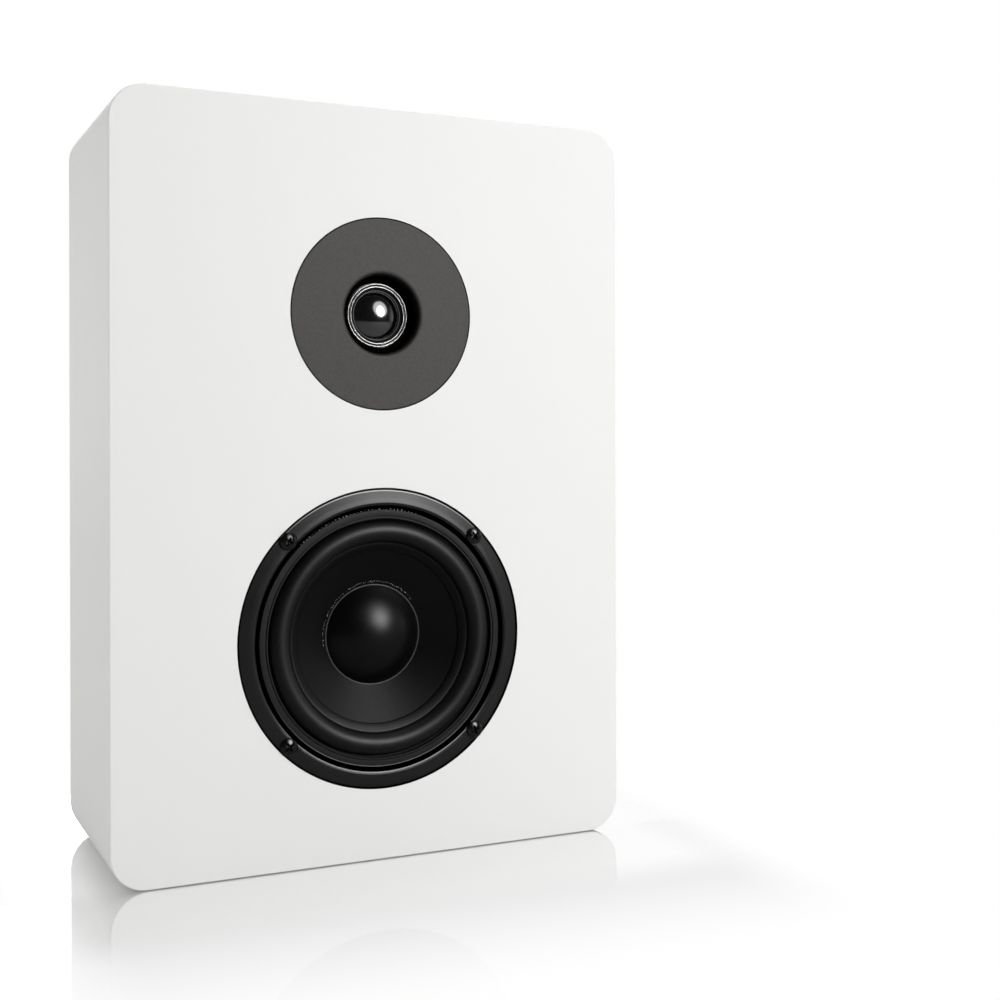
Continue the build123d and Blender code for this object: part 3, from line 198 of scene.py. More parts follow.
class Socket:
    """One socket of a node tree: operators add Math nodes, and node() adds any other kind."""

    def __init__(self, tree, link=None):
        self.tree = tree
        self.link = link

    def node(self, kind, settings=None, values=None, output=0):
        """Adds a node, sets it up, fills or links its sockets and returns one of its outputs."""
        made = self.tree.nodes.new(kind)
        for key, value in (settings or {}).items():
            setattr(made, key, value)
        for key, value in (values or {}).items():
            if isinstance(value, Socket):
                self.tree.links.new(value.link, made.inputs[key])
            else:
                made.inputs[key].default_value = value
        return Socket(self.tree, made.outputs[output]) if len(made.outputs) else None

    def maths(self, operation, *operands):
        """Adds a Math node on these operands."""
        return self.node("ShaderNodeMath", {"operation": operation}, dict(enumerate(operands)))

    def __add__(self, other):
        return self.maths("ADD", self, other)

    def __radd__(self, other):
        return self.maths("ADD", other, self)

    def __sub__(self, other):
        return self.maths("SUBTRACT", self, other)

    def __rsub__(self, other):
        return self.maths("SUBTRACT", other, self)

    def __mul__(self, other):
        return self.maths("MULTIPLY", self, other)

    def __rmul__(self, other):
        return self.maths("MULTIPLY", other, self)

    def __truediv__(self, other):
        return self.maths("DIVIDE", self, other)

    def __rtruediv__(self, other):
        return self.maths("DIVIDE", other, self)

    def __pow__(self, other):
        return self.maths("POWER", self, other)

    def __rpow__(self, other):
        return self.maths("POWER", other, self)

    def step(self, low, high):
        """Goes smoothly from 0 at low to 1 at high."""
        return self.node(
            "ShaderNodeMapRange",
            {"interpolation_type": "SMOOTHSTEP"},
            {"Value": self, "From Min": low, "From Max": high},
        )

    def between(self, first, second):
        """Mixes two colours by this value."""
        values = {MIX_FACTOR: self, **dict(zip(MIX_COLOURS, (first, second)))}
        return self.node("ShaderNodeMix", {"data_type": "RGBA"}, values, MIX_RESULT)

    def vector(self, operation, *operands, output=0, **named):
        """Adds a Vector Math node on these operands."""
        values = {**dict(enumerate(operands)), **named}
        return self.node("ShaderNodeVectorMath", {"operation": operation}, values, output)

    def size(self):
        """Length of a vector."""
        return self.vector("LENGTH", self, output=1)

    def part(self, axis):
        """One part of a vector: X, Y or Z."""
        return self.node("ShaderNodeSeparateXYZ", values={0: self}, output=axis)

    def noise(self, size, detail):
        """Cloudy noise whose blobs are about size millimetres across, read at this place."""
        values = {"Vector": self, "Scale": 1.0 / (size * MM), "Detail": detail}
        return self.node("ShaderNodeTexNoise", values=values)


ACROSS = (1.0, 0.0, 1.0)
DARK_SHARE = 0.02
# Pale grey of the painted highlights on edges and rims.
PAINTED_LIGHT_TINT = (0.5, 0.5, 0.49)


def rgba(tint, share=1.0):
    """A colour for a socket, made darker or paler by share."""
    return (*[min(channel * share, 1.0) for channel in tint], 1.0)


def from_axis(place, axis):
    """Place measured from an axis along Y, flattened along it."""
    offset = place.vector("SUBTRACT", place, axis)
    return offset.vector("MULTIPLY", offset, ACROSS)


def radius_of(place, axis):
    """Distance from a driver's axis in millimetres."""
    return from_axis(place, axis).size() / MM


def spokes(count, height):
    """Relief that changes round the woofer's axis and hardly along its radius."""
    def relief(place):
        around = from_axis(place, WOOFER_AXIS)
        wide = around.vector("SCALE", around.vector("NORMALIZE", around), Scale=count)
        values = {"Vector": wide, "Scale": 1.0, "Detail": 2.0}
        return place.node("ShaderNodeTexNoise", values=values) * height

    return relief


def band(value, start, full, fade, end):
    """1 between two limits, with soft edges."""
    return value.step(start, full) * (1 - value.step(fade, end))


def emptied(owner):
    """Root of a material's or the world's node tree, with no nodes in it."""
    owner.use_nodes = True
    owner.node_tree.nodes.clear()
    return Socket(owner.node_tree)


def finish(
    name, tint, roughness, mottle=0.06, patch=30.0, haze=0.05, grain=0.004, pore=0.5, speck=0.0,
    relief=None, dark=None, painted_light=None, **fixed
):
    """A surface whose colour and gloss wander over patches and whose fine grain catches light.

    Sizes are in millimetres, and speck is how strongly dots of the grain's size show in the colour.
    relief, the painted-highlight mask and dark are functions of the place. relief adds to the height, the
    painted-highlight mask goes from 0 to 1 where the colour gives way to a pale grey as a painted highlight,
    and dark where the surface turns to a black that reflects hardly anything, which paints shade in recesses
    and grooves and dulls the surround's landing. The rest are sockets of the shader that stay the same all
    over, with spaces in their names written as underscores.
    """
    material = bpy.data.materials.new(name)
    root = emptied(material)
    place = root.node("ShaderNodeTexCoord", output="Object")
    cloud = place.noise(patch, detail=3.0)
    wander = cloud
    if speck:
        wander = cloud + (place.noise(2 * pore, detail=1.0) - 0.5) * speck
    tone = wander.between(rgba(tint, 1 - mottle), rgba(tint, 1 + mottle))
    # Painted highlight: the colour turns pale where the mask says.
    if painted_light:
        tone = painted_light(place).between(tone, rgba(PAINTED_LIGHT_TINT))
    height = place.noise(pore, detail=3.0) * grain
    if relief:
        height = height + relief(place)
    values = {
        "Base Color": tone,
        "Roughness": cloud * (2 * haze) + (roughness - haze),
        "Normal": root.node("ShaderNodeBump", values={"Height": height, "Distance": MM}),
    }
    if dark:
        shade = dark(place)
        values["Base Color"] = shade.between(tone, rgba(tint, DARK_SHARE))
        values["Metallic"] = shade
    values.update({key.replace("_", " "): value for key, value in fixed.items()})
    shader = root.node("ShaderNodeBsdfPrincipled", values=values)
    root.node("ShaderNodeOutputMaterial", values={"Surface": shader})
    return material


def dress(material, *nodes):
    """Gives CAD nodes a finish."""
    for node in nodes:
        for slot in NODES[node].material_slots:
            slot.material = material


def placed(name, data):
    """A new object in the scene, at the origin."""
    made = bpy.data.objects.new(name, data)
    bpy.context.scene.collection.objects.link(made)
    return made


def baked(made):
    """The mesh that an object's modifiers or its curve's bevel give."""
    graph = bpy.context.evaluated_depsgraph_get()
    return bpy.data.meshes.new_from_object(made.evaluated_get(graph))


def mesh_object(name, bm, material=None):
    """A new object with this mesh, settled if it is given a material."""
    mesh = bpy.data.meshes.new(name)
    bm.to_mesh(mesh)
    bm.free()
    made = placed(name, mesh)
    return settle(made, material) if material else made


def settle(made, material):
    """Smooth shading with crisp edges, and one material."""
    made.data.shade_smooth()
    made.data.set_sharp_from_angle(angle=SHARP_ANGLE)
    made.data.materials.clear()
    made.data.materials.append(material)
    return made


def add_turned(bm, outline, axis, steps=TURN_STEPS):
    """Turns a closed outline of (radius, depth) in millimetres about an axis along Y."""
    rings = []
    for radius, depth in outline:
        y = axis.y + depth * MM
        if radius == 0:
            rings.append([bm.verts.new((axis.x, y, axis.z))] * steps)
            continue
        ring = []
        for k in range(steps):
            angle = math.tau * k / steps
            x, z = radius * MM * math.cos(angle), radius * MM * math.sin(angle)
            ring.append(bm.verts.new((axis.x + x, y, axis.z + z)))
        rings.append(ring)
    for before, after in zip(rings, rings[1:] + rings[:1]):
        for k in range(steps):
            n = (k + 1) % steps
            corners = list(dict.fromkeys((before[k], before[n], after[n], after[k])))
            if len(corners) > 2:
                bm.faces.new(corners)
    bmesh.ops.recalc_face_normals(bm, faces=bm.faces)


def turned(name, outline, axis, material, steps=TURN_STEPS):
    """A new piece turned from an outline."""
    bm = bmesh.new()
    add_turned(bm, outline, axis, steps)
    return mesh_object(name, bm, material)


def arc(middle_r, middle_u, radius, start, end, count):
    """Points of an arc in a turned outline, with angles from the outward radius towards the front."""
    points = []
    for k in range(count + 1):
        angle = math.radians(start + (end - start) * k / count)
        points.append((middle_r + radius * math.cos(angle), middle_u - radius * math.sin(angle)))
    return points


def bend_radius(rise, half):
    """Radius of the arc that rises this far over half its chord."""
    return (rise**2 + half**2) / (2 * rise)


BALL_STEPS = 40


def ball_cap(rim_r, rim_u, tip_u, wall):
    """Outline of a thin part of a ball with its tip to the front."""
    ball_r = bend_radius(rim_u - tip_u, rim_r)
    ball_u = tip_u + ball_r
    edge = 90 - math.degrees(math.asin(rim_r / ball_r))
    front = arc(0, ball_u, ball_r, edge, 90, BALL_STEPS)
    back = arc(0, ball_u, ball_r - wall, 90, edge, BALL_STEPS)
    front[-1] = (0, tip_u)
    back[0] = (0, tip_u + wall)
    return front + back


def half_roll(inner, outer, crest, foot, wall, count):
    """Front and back of a roll that bulges to the front between two radii."""
    rise, half = foot - crest, (outer - inner) / 2
    bend = bend_radius(rise, half)
    middle_r, middle_u = inner + half, crest + bend
    lift = math.degrees(math.asin((middle_u - foot) / bend)) if bend > rise else 0.0
    over = arc(middle_r, middle_u, bend, lift, 180 - lift, count)
    under = arc(middle_r, middle_u, bend - wall, 180 - lift, lift, count)
    return over, under


def flex(piece, node, inner_body, axis, inner_r, outer_r):
    """Puts a round piece in a CAD node's place: it bends from the cabinet outside to a moving body inside."""
    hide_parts(node)
    start = axis + Vector((outer_r * MM, 0, 0))
    end = axis + Vector((inner_r * MM, 0, 0))
    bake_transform(piece, "cabinet", inner_body, start=tuple(start), end=tuple(end))
    weights = piece.data.attributes["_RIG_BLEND"].data
    for vertex, weight in zip(piece.data.vertices, weights):
        radius = math.hypot(vertex.co.x - axis.x, vertex.co.z - axis.z) / MM
        share = min(max((outer_r - radius) / (outer_r - inner_r), 0.0), 1.0)
        weight.value = share * share * (3 - 2 * share)


def stand_for(piece, slot, body, *nodes):
    """Puts a modelled piece in the place of CAD nodes."""
    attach(piece, body)
    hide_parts(*nodes)


class Tree:
    """A Geometry Nodes tree that is run once and turned into a plain mesh."""

    def __init__(self, name, inputs):
        self.group = bpy.data.node_groups.new(name, "GeometryNodeTree")
        sockets = self.group.interface
        sockets.new_socket("Geometry", in_out="OUTPUT", socket_type="NodeSocketGeometry")
        sockets.new_socket("Geometry", in_out="INPUT", socket_type="NodeSocketGeometry")
        self.names = {}
        for label, kind in inputs.items():
            made = sockets.new_socket(label, in_out="INPUT", socket_type="NodeSocket" + kind)
            self.names[label] = made.identifier
        self.root = Socket(self.group)
        self.given = self.group.nodes.new("NodeGroupInput")

    def input(self, label):
        """One of the tree's inputs."""
        return Socket(self.group, self.given.outputs[label])

    def random(self, low, high, draw=0):
        """A random vector or number for each point, by the seed and the number of the draw."""
        vectors = isinstance(low, tuple)
        lowest, highest, result = RANDOM_VECTOR if vectors else RANDOM_NUMBER
        seed = self.input("Seed") + draw if draw else self.input("Seed")
        settings = {"data_type": "FLOAT_VECTOR" if vectors else "FLOAT"}
        values = {lowest: low, highest: high, "Seed": seed}
        return self.root.node("FunctionNodeRandomValue", settings, values, result)

    def end(self, shape):
        """Closes the tree with its material."""
        whole = shape.node("GeometryNodeRealizeInstances", values={0: shape})
        painted = {"Geometry": whole, "Material": self.input("Material")}
        shape.node("NodeGroupOutput", values={0: shape.node("GeometryNodeSetMaterial", values=painted)})

    def run(self, carrier, **values):
        """Runs the tree on an object's mesh and leaves its result there as a plain mesh."""
        modifier = carrier.modifiers.new(self.group.name, "NODES")
        modifier.node_group = self.group
        for label, value in values.items():
            modifier[self.names[label.replace("_", " ")]] = value
        result = baked(carrier)
        carrier.modifiers.remove(modifier)
        carrier.data = result
        return settle(carrier, values["Material"])


def points_object(name, places):
    """An object with a vertex at each place."""
    bm = bmesh.new()
    for place in places:
        bm.verts.new(place)
    return mesh_object(name, bm)


def merged_copy(node):
    """A copy of a CAD node's mesh with its loose triangles joined."""
    bm = bmesh.new()
    bm.from_mesh(NODES[node].data)
    bmesh.ops.remove_doubles(bm, verts=bm.verts, dist=MERGE_DISTANCE)
    return bm


def island_middles(node):
    """Middles of the separate solids of a CAD node."""
    bm = merged_copy(node)
    left = set(bm.verts)
    middles = []
    while left:
        group, edge = set(), [next(iter(left))]
        while edge:
            vertex = edge.pop()
            if vertex not in group:
                group.add(vertex)
                edge += [e.other_vert(vertex) for e in vertex.link_edges]
        left -= group
        low = Vector([min(v.co[k] for v in group) for k in range(3)])
        high = Vector([max(v.co[k] for v in group) for k in range(3)])
        middles.append((low + high) / 2)
    bm.free()
    return sorted(middles, key=lambda spot: (round(spot.z, SORT_DIGITS), round(spot.x, SORT_DIGITS)))


def copies_tree():
    """Copies of one object on the points of a mesh, each turned about Y at random."""
    tree = Tree("copies", {"Template": "Object", "Seed": "Int", "Material": "Material"})
    given = {"Object": tree.input("Template")}
    template = tree.root.node("GeometryNodeObjectInfo", values=given, output="Geometry")
    turn = tree.random(0.0, math.tau)
    copies = turn.node("GeometryNodeInstanceOnPoints", values={
        "Points": tree.input("Geometry"), "Instance": template,
        "Rotation": turn.node("ShaderNodeCombineXYZ", values={"Y": turn}),
    })
    tree.end(copies)
    return tree


FLUTE_BREADTH = 0.6
FLUTE_SKIN = (0.8, 0.99)


def flutes_tree():
    """Presses grip flutes into a turned cap whose axis runs along Y."""
    tree = Tree("flutes", {
        "Axis": "Vector", "Count": "Int", "Depth": "Float", "Low": "Float", "High": "Float",
        "Fade": "Float", "Radius": "Float", "Material": "Material",
    })
    place = tree.root.node("GeometryNodeInputPosition")
    flat = from_axis(place, tree.input("Axis"))
    angle = place.maths("ARCTAN2", flat.part("Z"), flat.part("X"))
    wave = place.maths("COSINE", angle * tree.input("Count")) * 0.5 + 0.5
    low, high, fade = tree.input("Low"), tree.input("High"), tree.input("Fade")
    inside = band(place.part("Y"), low, low + fade, high - fade, high)
    skin = flat.size().step(*[tree.input("Radius") * share for share in FLUTE_SKIN])
    push = wave**FLUTE_BREADTH * inside * skin * tree.input("Depth") * -1.0
    shift = place.vector("SCALE", place.vector("NORMALIZE", flat), Scale=push)
    values = {"Geometry": tree.input("Geometry"), "Offset": shift}
    tree.end(place.node("GeometryNodeSetPosition", values=values))
    return tree


TRAIL_STEPS = 64
DROP_DETAIL = 2
DROP_LEAST = (0.3, 0.3, 0.3)
DROP_MOST = (1.6, 0.9, 0.7)


def trail_tree():
    """Uneven drops of dried glue along an arc about the Y axis."""
    tree = Tree("glue_trail", {
        "Axis": "Vector", "Radius": "Float", "Wander": "Float", "Start": "Float", "Sweep": "Float",
        "Count": "Int", "Size": "Float", "Seed": "Int", "Material": "Material",
    })
    line = tree.root.node("GeometryNodeCurveArc", {"mode": "RADIUS"}, {
        "Radius": tree.input("Radius"), "Start Angle": tree.input("Start"),
        "Sweep Angle": tree.input("Sweep"), "Resolution": TRAIL_STEPS,
    })
    along = {"Curve": line, "Count": tree.input("Count")}
    points = line.node("GeometryNodeCurveToPoints", {"mode": "COUNT"}, along)
    jitter = tree.random((-1.0, -1.0, 0.0), (1.0, 1.0, 0.0))
    wander = jitter.vector("SCALE", jitter, Scale=tree.input("Wander"))
    points = points.node("GeometryNodeSetPosition", values={"Geometry": points, "Offset": wander})
    ball = {"Radius": 1.0, "Subdivisions": DROP_DETAIL}
    size = tree.random(DROP_LEAST, DROP_MOST, draw=1)
    drops = points.node("GeometryNodeInstanceOnPoints", values={
        "Points": points,
        "Instance": points.node("GeometryNodeMeshIcoSphere", values=ball),
        "Rotation": tree.random((0.0, 0.0, 0.0), (0.0, 0.0, math.tau), draw=2),
        "Scale": size.vector("SCALE", size, Scale=tree.input("Size")),
    })
    upright = drops.node("GeometryNodeTransform", values={
        "Geometry": drops, "Translation": tree.input("Axis"), "Rotation": (math.pi / 2, 0.0, 0.0),
    })
    tree.end(upright)
    return tree


SCREW_HEAD_R = 4.1
SCREW_HEAD_H = 2.6
SCREW_EDGE_H = 1.5
SCREW_NECK = (2.05, 1.0)
SCREW_STEPS = 64
CROWN_STEPS = 12
# Length, depth and width of the cross where it opens and at its floor.
CROSS_MOUTH = (5.616, -3.2, 1.456)
CROSS_FLOOR = (2.6, -0.52, 0.78)
SCREW_BEVEL_W = 0.08
SCREW_BEVEL_ANGLE = math.radians(40)


def screw_template(material):
    """A cross-head screw's head and neck at the origin, with its head to the front."""
    bm = bmesh.new()
    bend = bend_radius(SCREW_HEAD_H - SCREW_EDGE_H, SCREW_HEAD_R)
    edge = math.degrees(math.acos(SCREW_HEAD_R / bend))
    crown = arc(0, bend - SCREW_HEAD_H, bend, edge, 90, CROWN_STEPS)
    crown[-1] = (0, -SCREW_HEAD_H)
    neck_r, neck_u = SCREW_NECK
    outline = [(0, neck_u), (neck_r, neck_u), (neck_r, 0), (SCREW_HEAD_R, 0), *crown]
    add_turned(bm, outline, Vector(), SCREW_STEPS)
    head = mesh_object("screw_template", bm, material)
    wings = bmesh.new()
    for turn in (0, math.pi / 2):
        for vertex in bmesh.ops.create_cube(wings, size=1.0)["verts"]:
            reach, depth, width = CROSS_FLOOR if vertex.co.y > 0 else CROSS_MOUTH
            corner = Vector((vertex.co.x * reach, depth, vertex.co.z * width))
            vertex.co = Matrix.Rotation(turn, 3, "Y") @ corner
            vertex.co *= MM
    cutter = mesh_object("screw_template_cross", wings, material)
    cut = head.modifiers.new("cross", "BOOLEAN")
    cut.operation = "DIFFERENCE"
    cut.solver = "EXACT"
    cut.use_self = True
    cut.object = cutter
    bevel = head.modifiers.new("soften", "BEVEL")
    bevel.width = SCREW_BEVEL_W * MM
    bevel.segments = 2
    bevel.limit_method = "ANGLE"
    bevel.angle_limit = SCREW_BEVEL_ANGLE
    head.data = baked(head)
    head.modifiers.clear()
    bpy.data.objects.remove(cutter)
    return settle(head, material)


# Gaps round the drivers, out to which the recess walls get painted shade; and how far painted shade reaches
# past a wall and fades.
WOOFER_GAP = 0.6
TWEETER_GAP = 0.4
WALL_REACH = 0.02
WALL_FADE = 0.08


def within(place, axis, radius):
    """1 on everything up to a radius round an axis, the walls at that radius too, and 0 outside it."""
    return 1 - radius_of(place, axis).step(radius + WALL_REACH, radius + WALL_REACH + WALL_FADE)


def recess_wall_shade(place):
    """Painted shade: the walls of the baffle's recesses turn black, so that a fine dark line shows round each
    driver.
    """
    woofer = within(place, WOOFER_AXIS, half_width("woofer_basket") + WOOFER_GAP)
    return woofer + within(place, TWEETER_AXIS, half_width("tweeter_faceplate") + TWEETER_GAP)


def cabinet_paint(name, tint, **more):
    """Satin paint with a faint orange peel."""
    return finish(
        name, tint, roughness=0.5, mottle=0.006, patch=90, haze=0.03, grain=0.006, pore=1.4,
        Specular_IOR_Level=0.25, **more
    )


class SPEAKER_OT_cabinet(bpy.types.Operator):
    """Paints the cabinet's panels and finishes what is hidden in them"""

    bl_idname = "speaker.cabinet"
    bl_label = "Cabinet"

    def execute(self, context):
        tints = context.scene.speaker_colours
        panels = ("top_panel", "bottom_panel", "left_side_panel", "right_side_panel", "rear_panel")
        dress(cabinet_paint("cabinet_paint", tints.cabinet), *panels)
        # The baffle's recess walls get painted shade, in black.
        dress(cabinet_paint("baffle_paint", tints.cabinet, dark=recess_wall_shade), "front_baffle")
        dress(finish("grille_magnet", tints.steel, roughness=0.2, Metallic=1.0), "grille_magnets")
        return {"FINISHED"}


GROOVE_W = 2.3
EDGE_SHADE_W = 0.35
# Where the painted highlights start, are full, fade and end: distances from an edge, and shares of its radius
# in height.
OUTER_HIGHLIGHT = (1.0, 0.85, 0.5, 0.4)
INNER_HIGHLIGHT = (0.05, 0.15, 0.4, 0.65)
CLAMP_HIGHLIGHT = (0.45, 0.35, 0.15, 0.05)
CLAMP_HIGHLIGHT_SHARE = 0.35
OUTER_HIGHLIGHT_HEIGHT = (0.6, 1.05)
INNER_HIGHLIGHT_HEIGHT = (0.35, 1.0)


def groove_radius():
    """Outer radius of the groove between the clamp ring and the frame's ring."""
    return half_width("woofer_clamp_ring") + GROOVE_W


def ring_walls(place):
    """The groove inside the ring and the ring's outermost edge, which lie in shadow."""
    rim = half_width("woofer_basket") - EDGE_SHADE_W
    outside = radius_of(place, WOOFER_AXIS).step(rim, rim + WALL_FADE)
    return within(place, WOOFER_AXIS, groove_radius()) + outside


def ring_edge_highlights(place):
    """Painted highlights along the ring's edges, where light catches them: the outer one at the top and the
    inner one at the bottom.
    """
    radius, rim = radius_of(place, WOOFER_AXIS), half_width("woofer_basket")
    height = (place.part("Z") - WOOFER_AXIS.z) / (rim * MM)
    outer = band(radius, *[rim - inset for inset in OUTER_HIGHLIGHT]) * height.step(*OUTER_HIGHLIGHT_HEIGHT)
    inner = band(radius, *[groove_radius() + offset for offset in INNER_HIGHLIGHT])
    return outer + inner * (0 - height).step(*INNER_HIGHLIGHT_HEIGHT)


def clamp_edge_highlight(place):
    """The same painted highlight on the clamp ring's outer edge, at the bottom."""
    rim = half_width("woofer_clamp_ring")
    height = (place.part("Z") - WOOFER_AXIS.z) / (rim * MM)
    edge = band(radius_of(place, WOOFER_AXIS), *[rim - inset for inset in CLAMP_HIGHLIGHT])
    return edge * (0 - height).step(*INNER_HIGHLIGHT_HEIGHT) * CLAMP_HIGHLIGHT_SHARE


CLAMP_W = 4.1
CLAMP_EDGE_R = 0.12
CLAMP_EDGE_STEPS = 5
CLAMP_LIP_W = 0.8
CLAMP_LINE_W = 0.4
CLAMP_LINE_DEPTH = 0.7


def clamp_outline():
    """Clamp ring with crisp edges and a fine line that sets off its inner lip."""
    front, back = depths("woofer_clamp_ring")
    outer = half_width("woofer_clamp_ring")
    inner, edge = outer - CLAMP_W, CLAMP_EDGE_R
    lip, face = inner + CLAMP_LIP_W, inner + CLAMP_LIP_W + CLAMP_LINE_W
    points = [(inner, back)]
    for left, right in ((inner, lip), (face, outer)):
        points += arc(left + edge, front + edge, edge, 180, 90, CLAMP_EDGE_STEPS)
        points += arc(right - edge, front + edge, edge, 90, 0, CLAMP_EDGE_STEPS)
        if right == lip:
            points += [(lip, front + CLAMP_LINE_DEPTH), (face, front + CLAMP_LINE_DEPTH)]
    return points + [(outer, back)]


class SPEAKER_OT_woofer_frame(bpy.types.Operator):
    """Finishes the woofer's frame and gasket, and models its clamp ring"""

    bl_idname = "speaker.woofer_frame"
    bl_label = "Woofer frame"

    def execute(self, context):
        tints = context.scene.speaker_colours
        # The frame's paint gets painted shade in its groove and on its outer edge, and painted highlights
        # along its edges.
        coat = finish(
            "frame_paint", tints.ring, roughness=0.36, mottle=0.15, patch=12, haze=0.03, pore=0.35,
            dark=ring_walls, painted_light=ring_edge_highlights,
        )
        dress(coat, "woofer_basket")
        # The clamp's outer edge gets a painted highlight at the bottom.
        plastic = finish(
            "clamp_plastic", tints.ring, roughness=0.45, mottle=0.35, patch=8, grain=0.01, pore=0.4,
            speck=2.0, painted_light=clamp_edge_highlight, Specular_IOR_Level=0.3,
        )
        clamp = turned("woofer_clamp_rim", clamp_outline(), WOOFER_AXIS, plastic)
        stand_for(clamp, "clamp_plastic", "cabinet", "woofer_clamp_ring")
        foam = finish("foam", tints.black, roughness=0.9, mottle=0.3, patch=2, grain=0.08, pore=0.6)
        dress(foam, "woofer_gasket", "tweeter_gasket", "terminal_cup_gasket")
        return {"FINISHED"}


CONE_SLOPE = 0.5
GLUE_GAP = 0.05
LANDING_DULLNESS = 0.5
LANDING_FADE = 1.0
ROLL_STEPS = 48
ROLL_JOIN = 0.5
LIP_BEVEL = 0.1
LIP_DROP = 0.4
FLANGE_EASE = 0.3
SPIDER_WALL = 0.5
SPIDER_WAVE = 1.1
SPIDER_WAVES = 4
SPIDER_STEPS = 64
# Flat widths of the spider at its inner and outer edges, and the widths there that don't bend.
SPIDER_FLATS = (2.0, 3.6)
SPIDER_HOLDS = (1.0, 3.5)


def cone_depth(radius):
    """Depth of the cone's front surface, from its CAD box and its straight slope."""
    return depths("woofer_cone")[0] + CONE_SLOPE * (half_width("woofer_cone") - radius)


def surround_outline(inner, outer, crest, foot, wall, landing):
    """Half roll with a flat outer flange and a landing that lies on the cone."""
    over, under = half_roll(inner, outer, crest, foot, wall, ROLL_STEPS)
    edge, top = half_width("woofer_surround"), GLUE_GAP + wall
    rows = (
        (inner - ROLL_JOIN, top),
        (landing + ROLL_JOIN, top),
        (landing + LIP_BEVEL, top - LIP_BEVEL),
        (landing, top - LIP_DROP),
        (landing, GLUE_GAP),
        (inner + ROLL_JOIN, GLUE_GAP),
    )
    lip = [(radius, cone_depth(radius) - raised) for radius, raised in rows]
    flange = [(edge, foot + wall), (edge, foot), (outer + ROLL_JOIN, foot)]
    return flange + over + lip + under + [(outer + FLANGE_EASE, foot + wall)]


def spider_outline():
    """Corrugated cloth between the coil former and the frame's inner ledge."""
    inner, outer = half_width("woofer_coil_former") + GLUE_GAP, half_width("woofer_spider")
    middle_u = (sum(depths("woofer_spider")) - SPIDER_WALL) / 2
    start, end = inner + SPIDER_FLATS[0], outer - SPIDER_FLATS[1]
    rows = [(inner, middle_u)]
    for k in range(SPIDER_STEPS + 1):
        share = k / SPIDER_STEPS
        wave = SPIDER_WAVE * math.sin(math.tau * SPIDER_WAVES * share)
        rows.append((start + (end - start) * share, middle_u - wave))
    rows.append((outer, middle_u))
    return rows + [(radius, depth + SPIDER_WALL) for radius, depth in reversed(rows)]


class SPEAKER_OT_woofer_surround(bpy.types.Operator):
    """Models the woofer's rubber surround and its corrugated spider, which bend with the cone"""

    bl_idname = "speaker.woofer_surround"
    bl_label = "Woofer surround"

    def execute(self, context):
        shapes, tints = context.scene.speaker_shapes, context.scene.speaker_colours
        inner, outer, wall = shapes.roll_inner / MM, shapes.roll_outer / MM, shapes.rubber / MM
        crest, foot = depths("woofer_surround")[0], depths("woofer_clamp_ring")[1]

        def dull_landing(place):
            """The landing on the cone, which shines less than the roll."""
            landing = 1 - radius_of(place, WOOFER_AXIS).step(inner - LANDING_FADE, inner)
            return landing * LANDING_DULLNESS

        rubber = finish(
            "surround_rubber", tints.rubber, roughness=0.44, mottle=0.2, patch=6,
            relief=spokes(count=60.0, height=0.03), dark=dull_landing, Specular_IOR_Level=0.5,
        )
        outline = surround_outline(inner, outer, crest, foot, wall, shapes.landing / MM)
        surround = turned("woofer_surround_roll", outline, WOOFER_AXIS, rubber)
        body = "woofer_diaphragm"
        flex(surround, "woofer_surround", body, WOOFER_AXIS, inner, outer)
        cloth = finish("spider_cloth", (0.42, 0.3, 0.14), roughness=0.8, mottle=0.3, patch=1.5, grain=0.05)
        spider = turned("woofer_spider_cloth", spider_outline(), WOOFER_AXIS, cloth)
        neck_r = half_width("woofer_coil_former") + SPIDER_HOLDS[0]
        ledge_r = half_width("woofer_spider") - SPIDER_HOLDS[1]
        flex(spider, "woofer_spider", body, WOOFER_AXIS, neck_r, ledge_r)
        return {"FINISHED"}


CONE_STEPS = 24
BEAD_SEAT = (0.6, 0.4)
BEAD_TURN = 345
BEAD_STEPS = 23
CONE_TRAIL_OUT = 2.0
CONE_TRAIL_LIFT = 0.03
CLAMP_TRAIL_OUT = 0.35
CLAMP_TRAIL_SINK = 0.25
CONE_TRAIL = {
    "Wander": 0.35 * MM, "Start": math.radians(38), "Sweep": math.radians(150), "Count": 58,
    "Size": 0.3 * MM, "Seed": 4,
}
CLAMP_TRAIL = {
    "Wander": 0.2 * MM, "Start": math.radians(74), "Sweep": math.radians(58), "Count": 34,
    "Size": 0.32 * MM, "Seed": 9,
}


def glue_trail(tree, name, radius, depth, body, slot, **values):
    """Drops of dried glue on a circle about the woofer's axis."""
    axis = WOOFER_AXIS + Vector((0, depth * MM, 0))
    trail = tree.run(points_object(name, []), Axis=axis, Radius=radius * MM, **values)
    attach(trail, body)


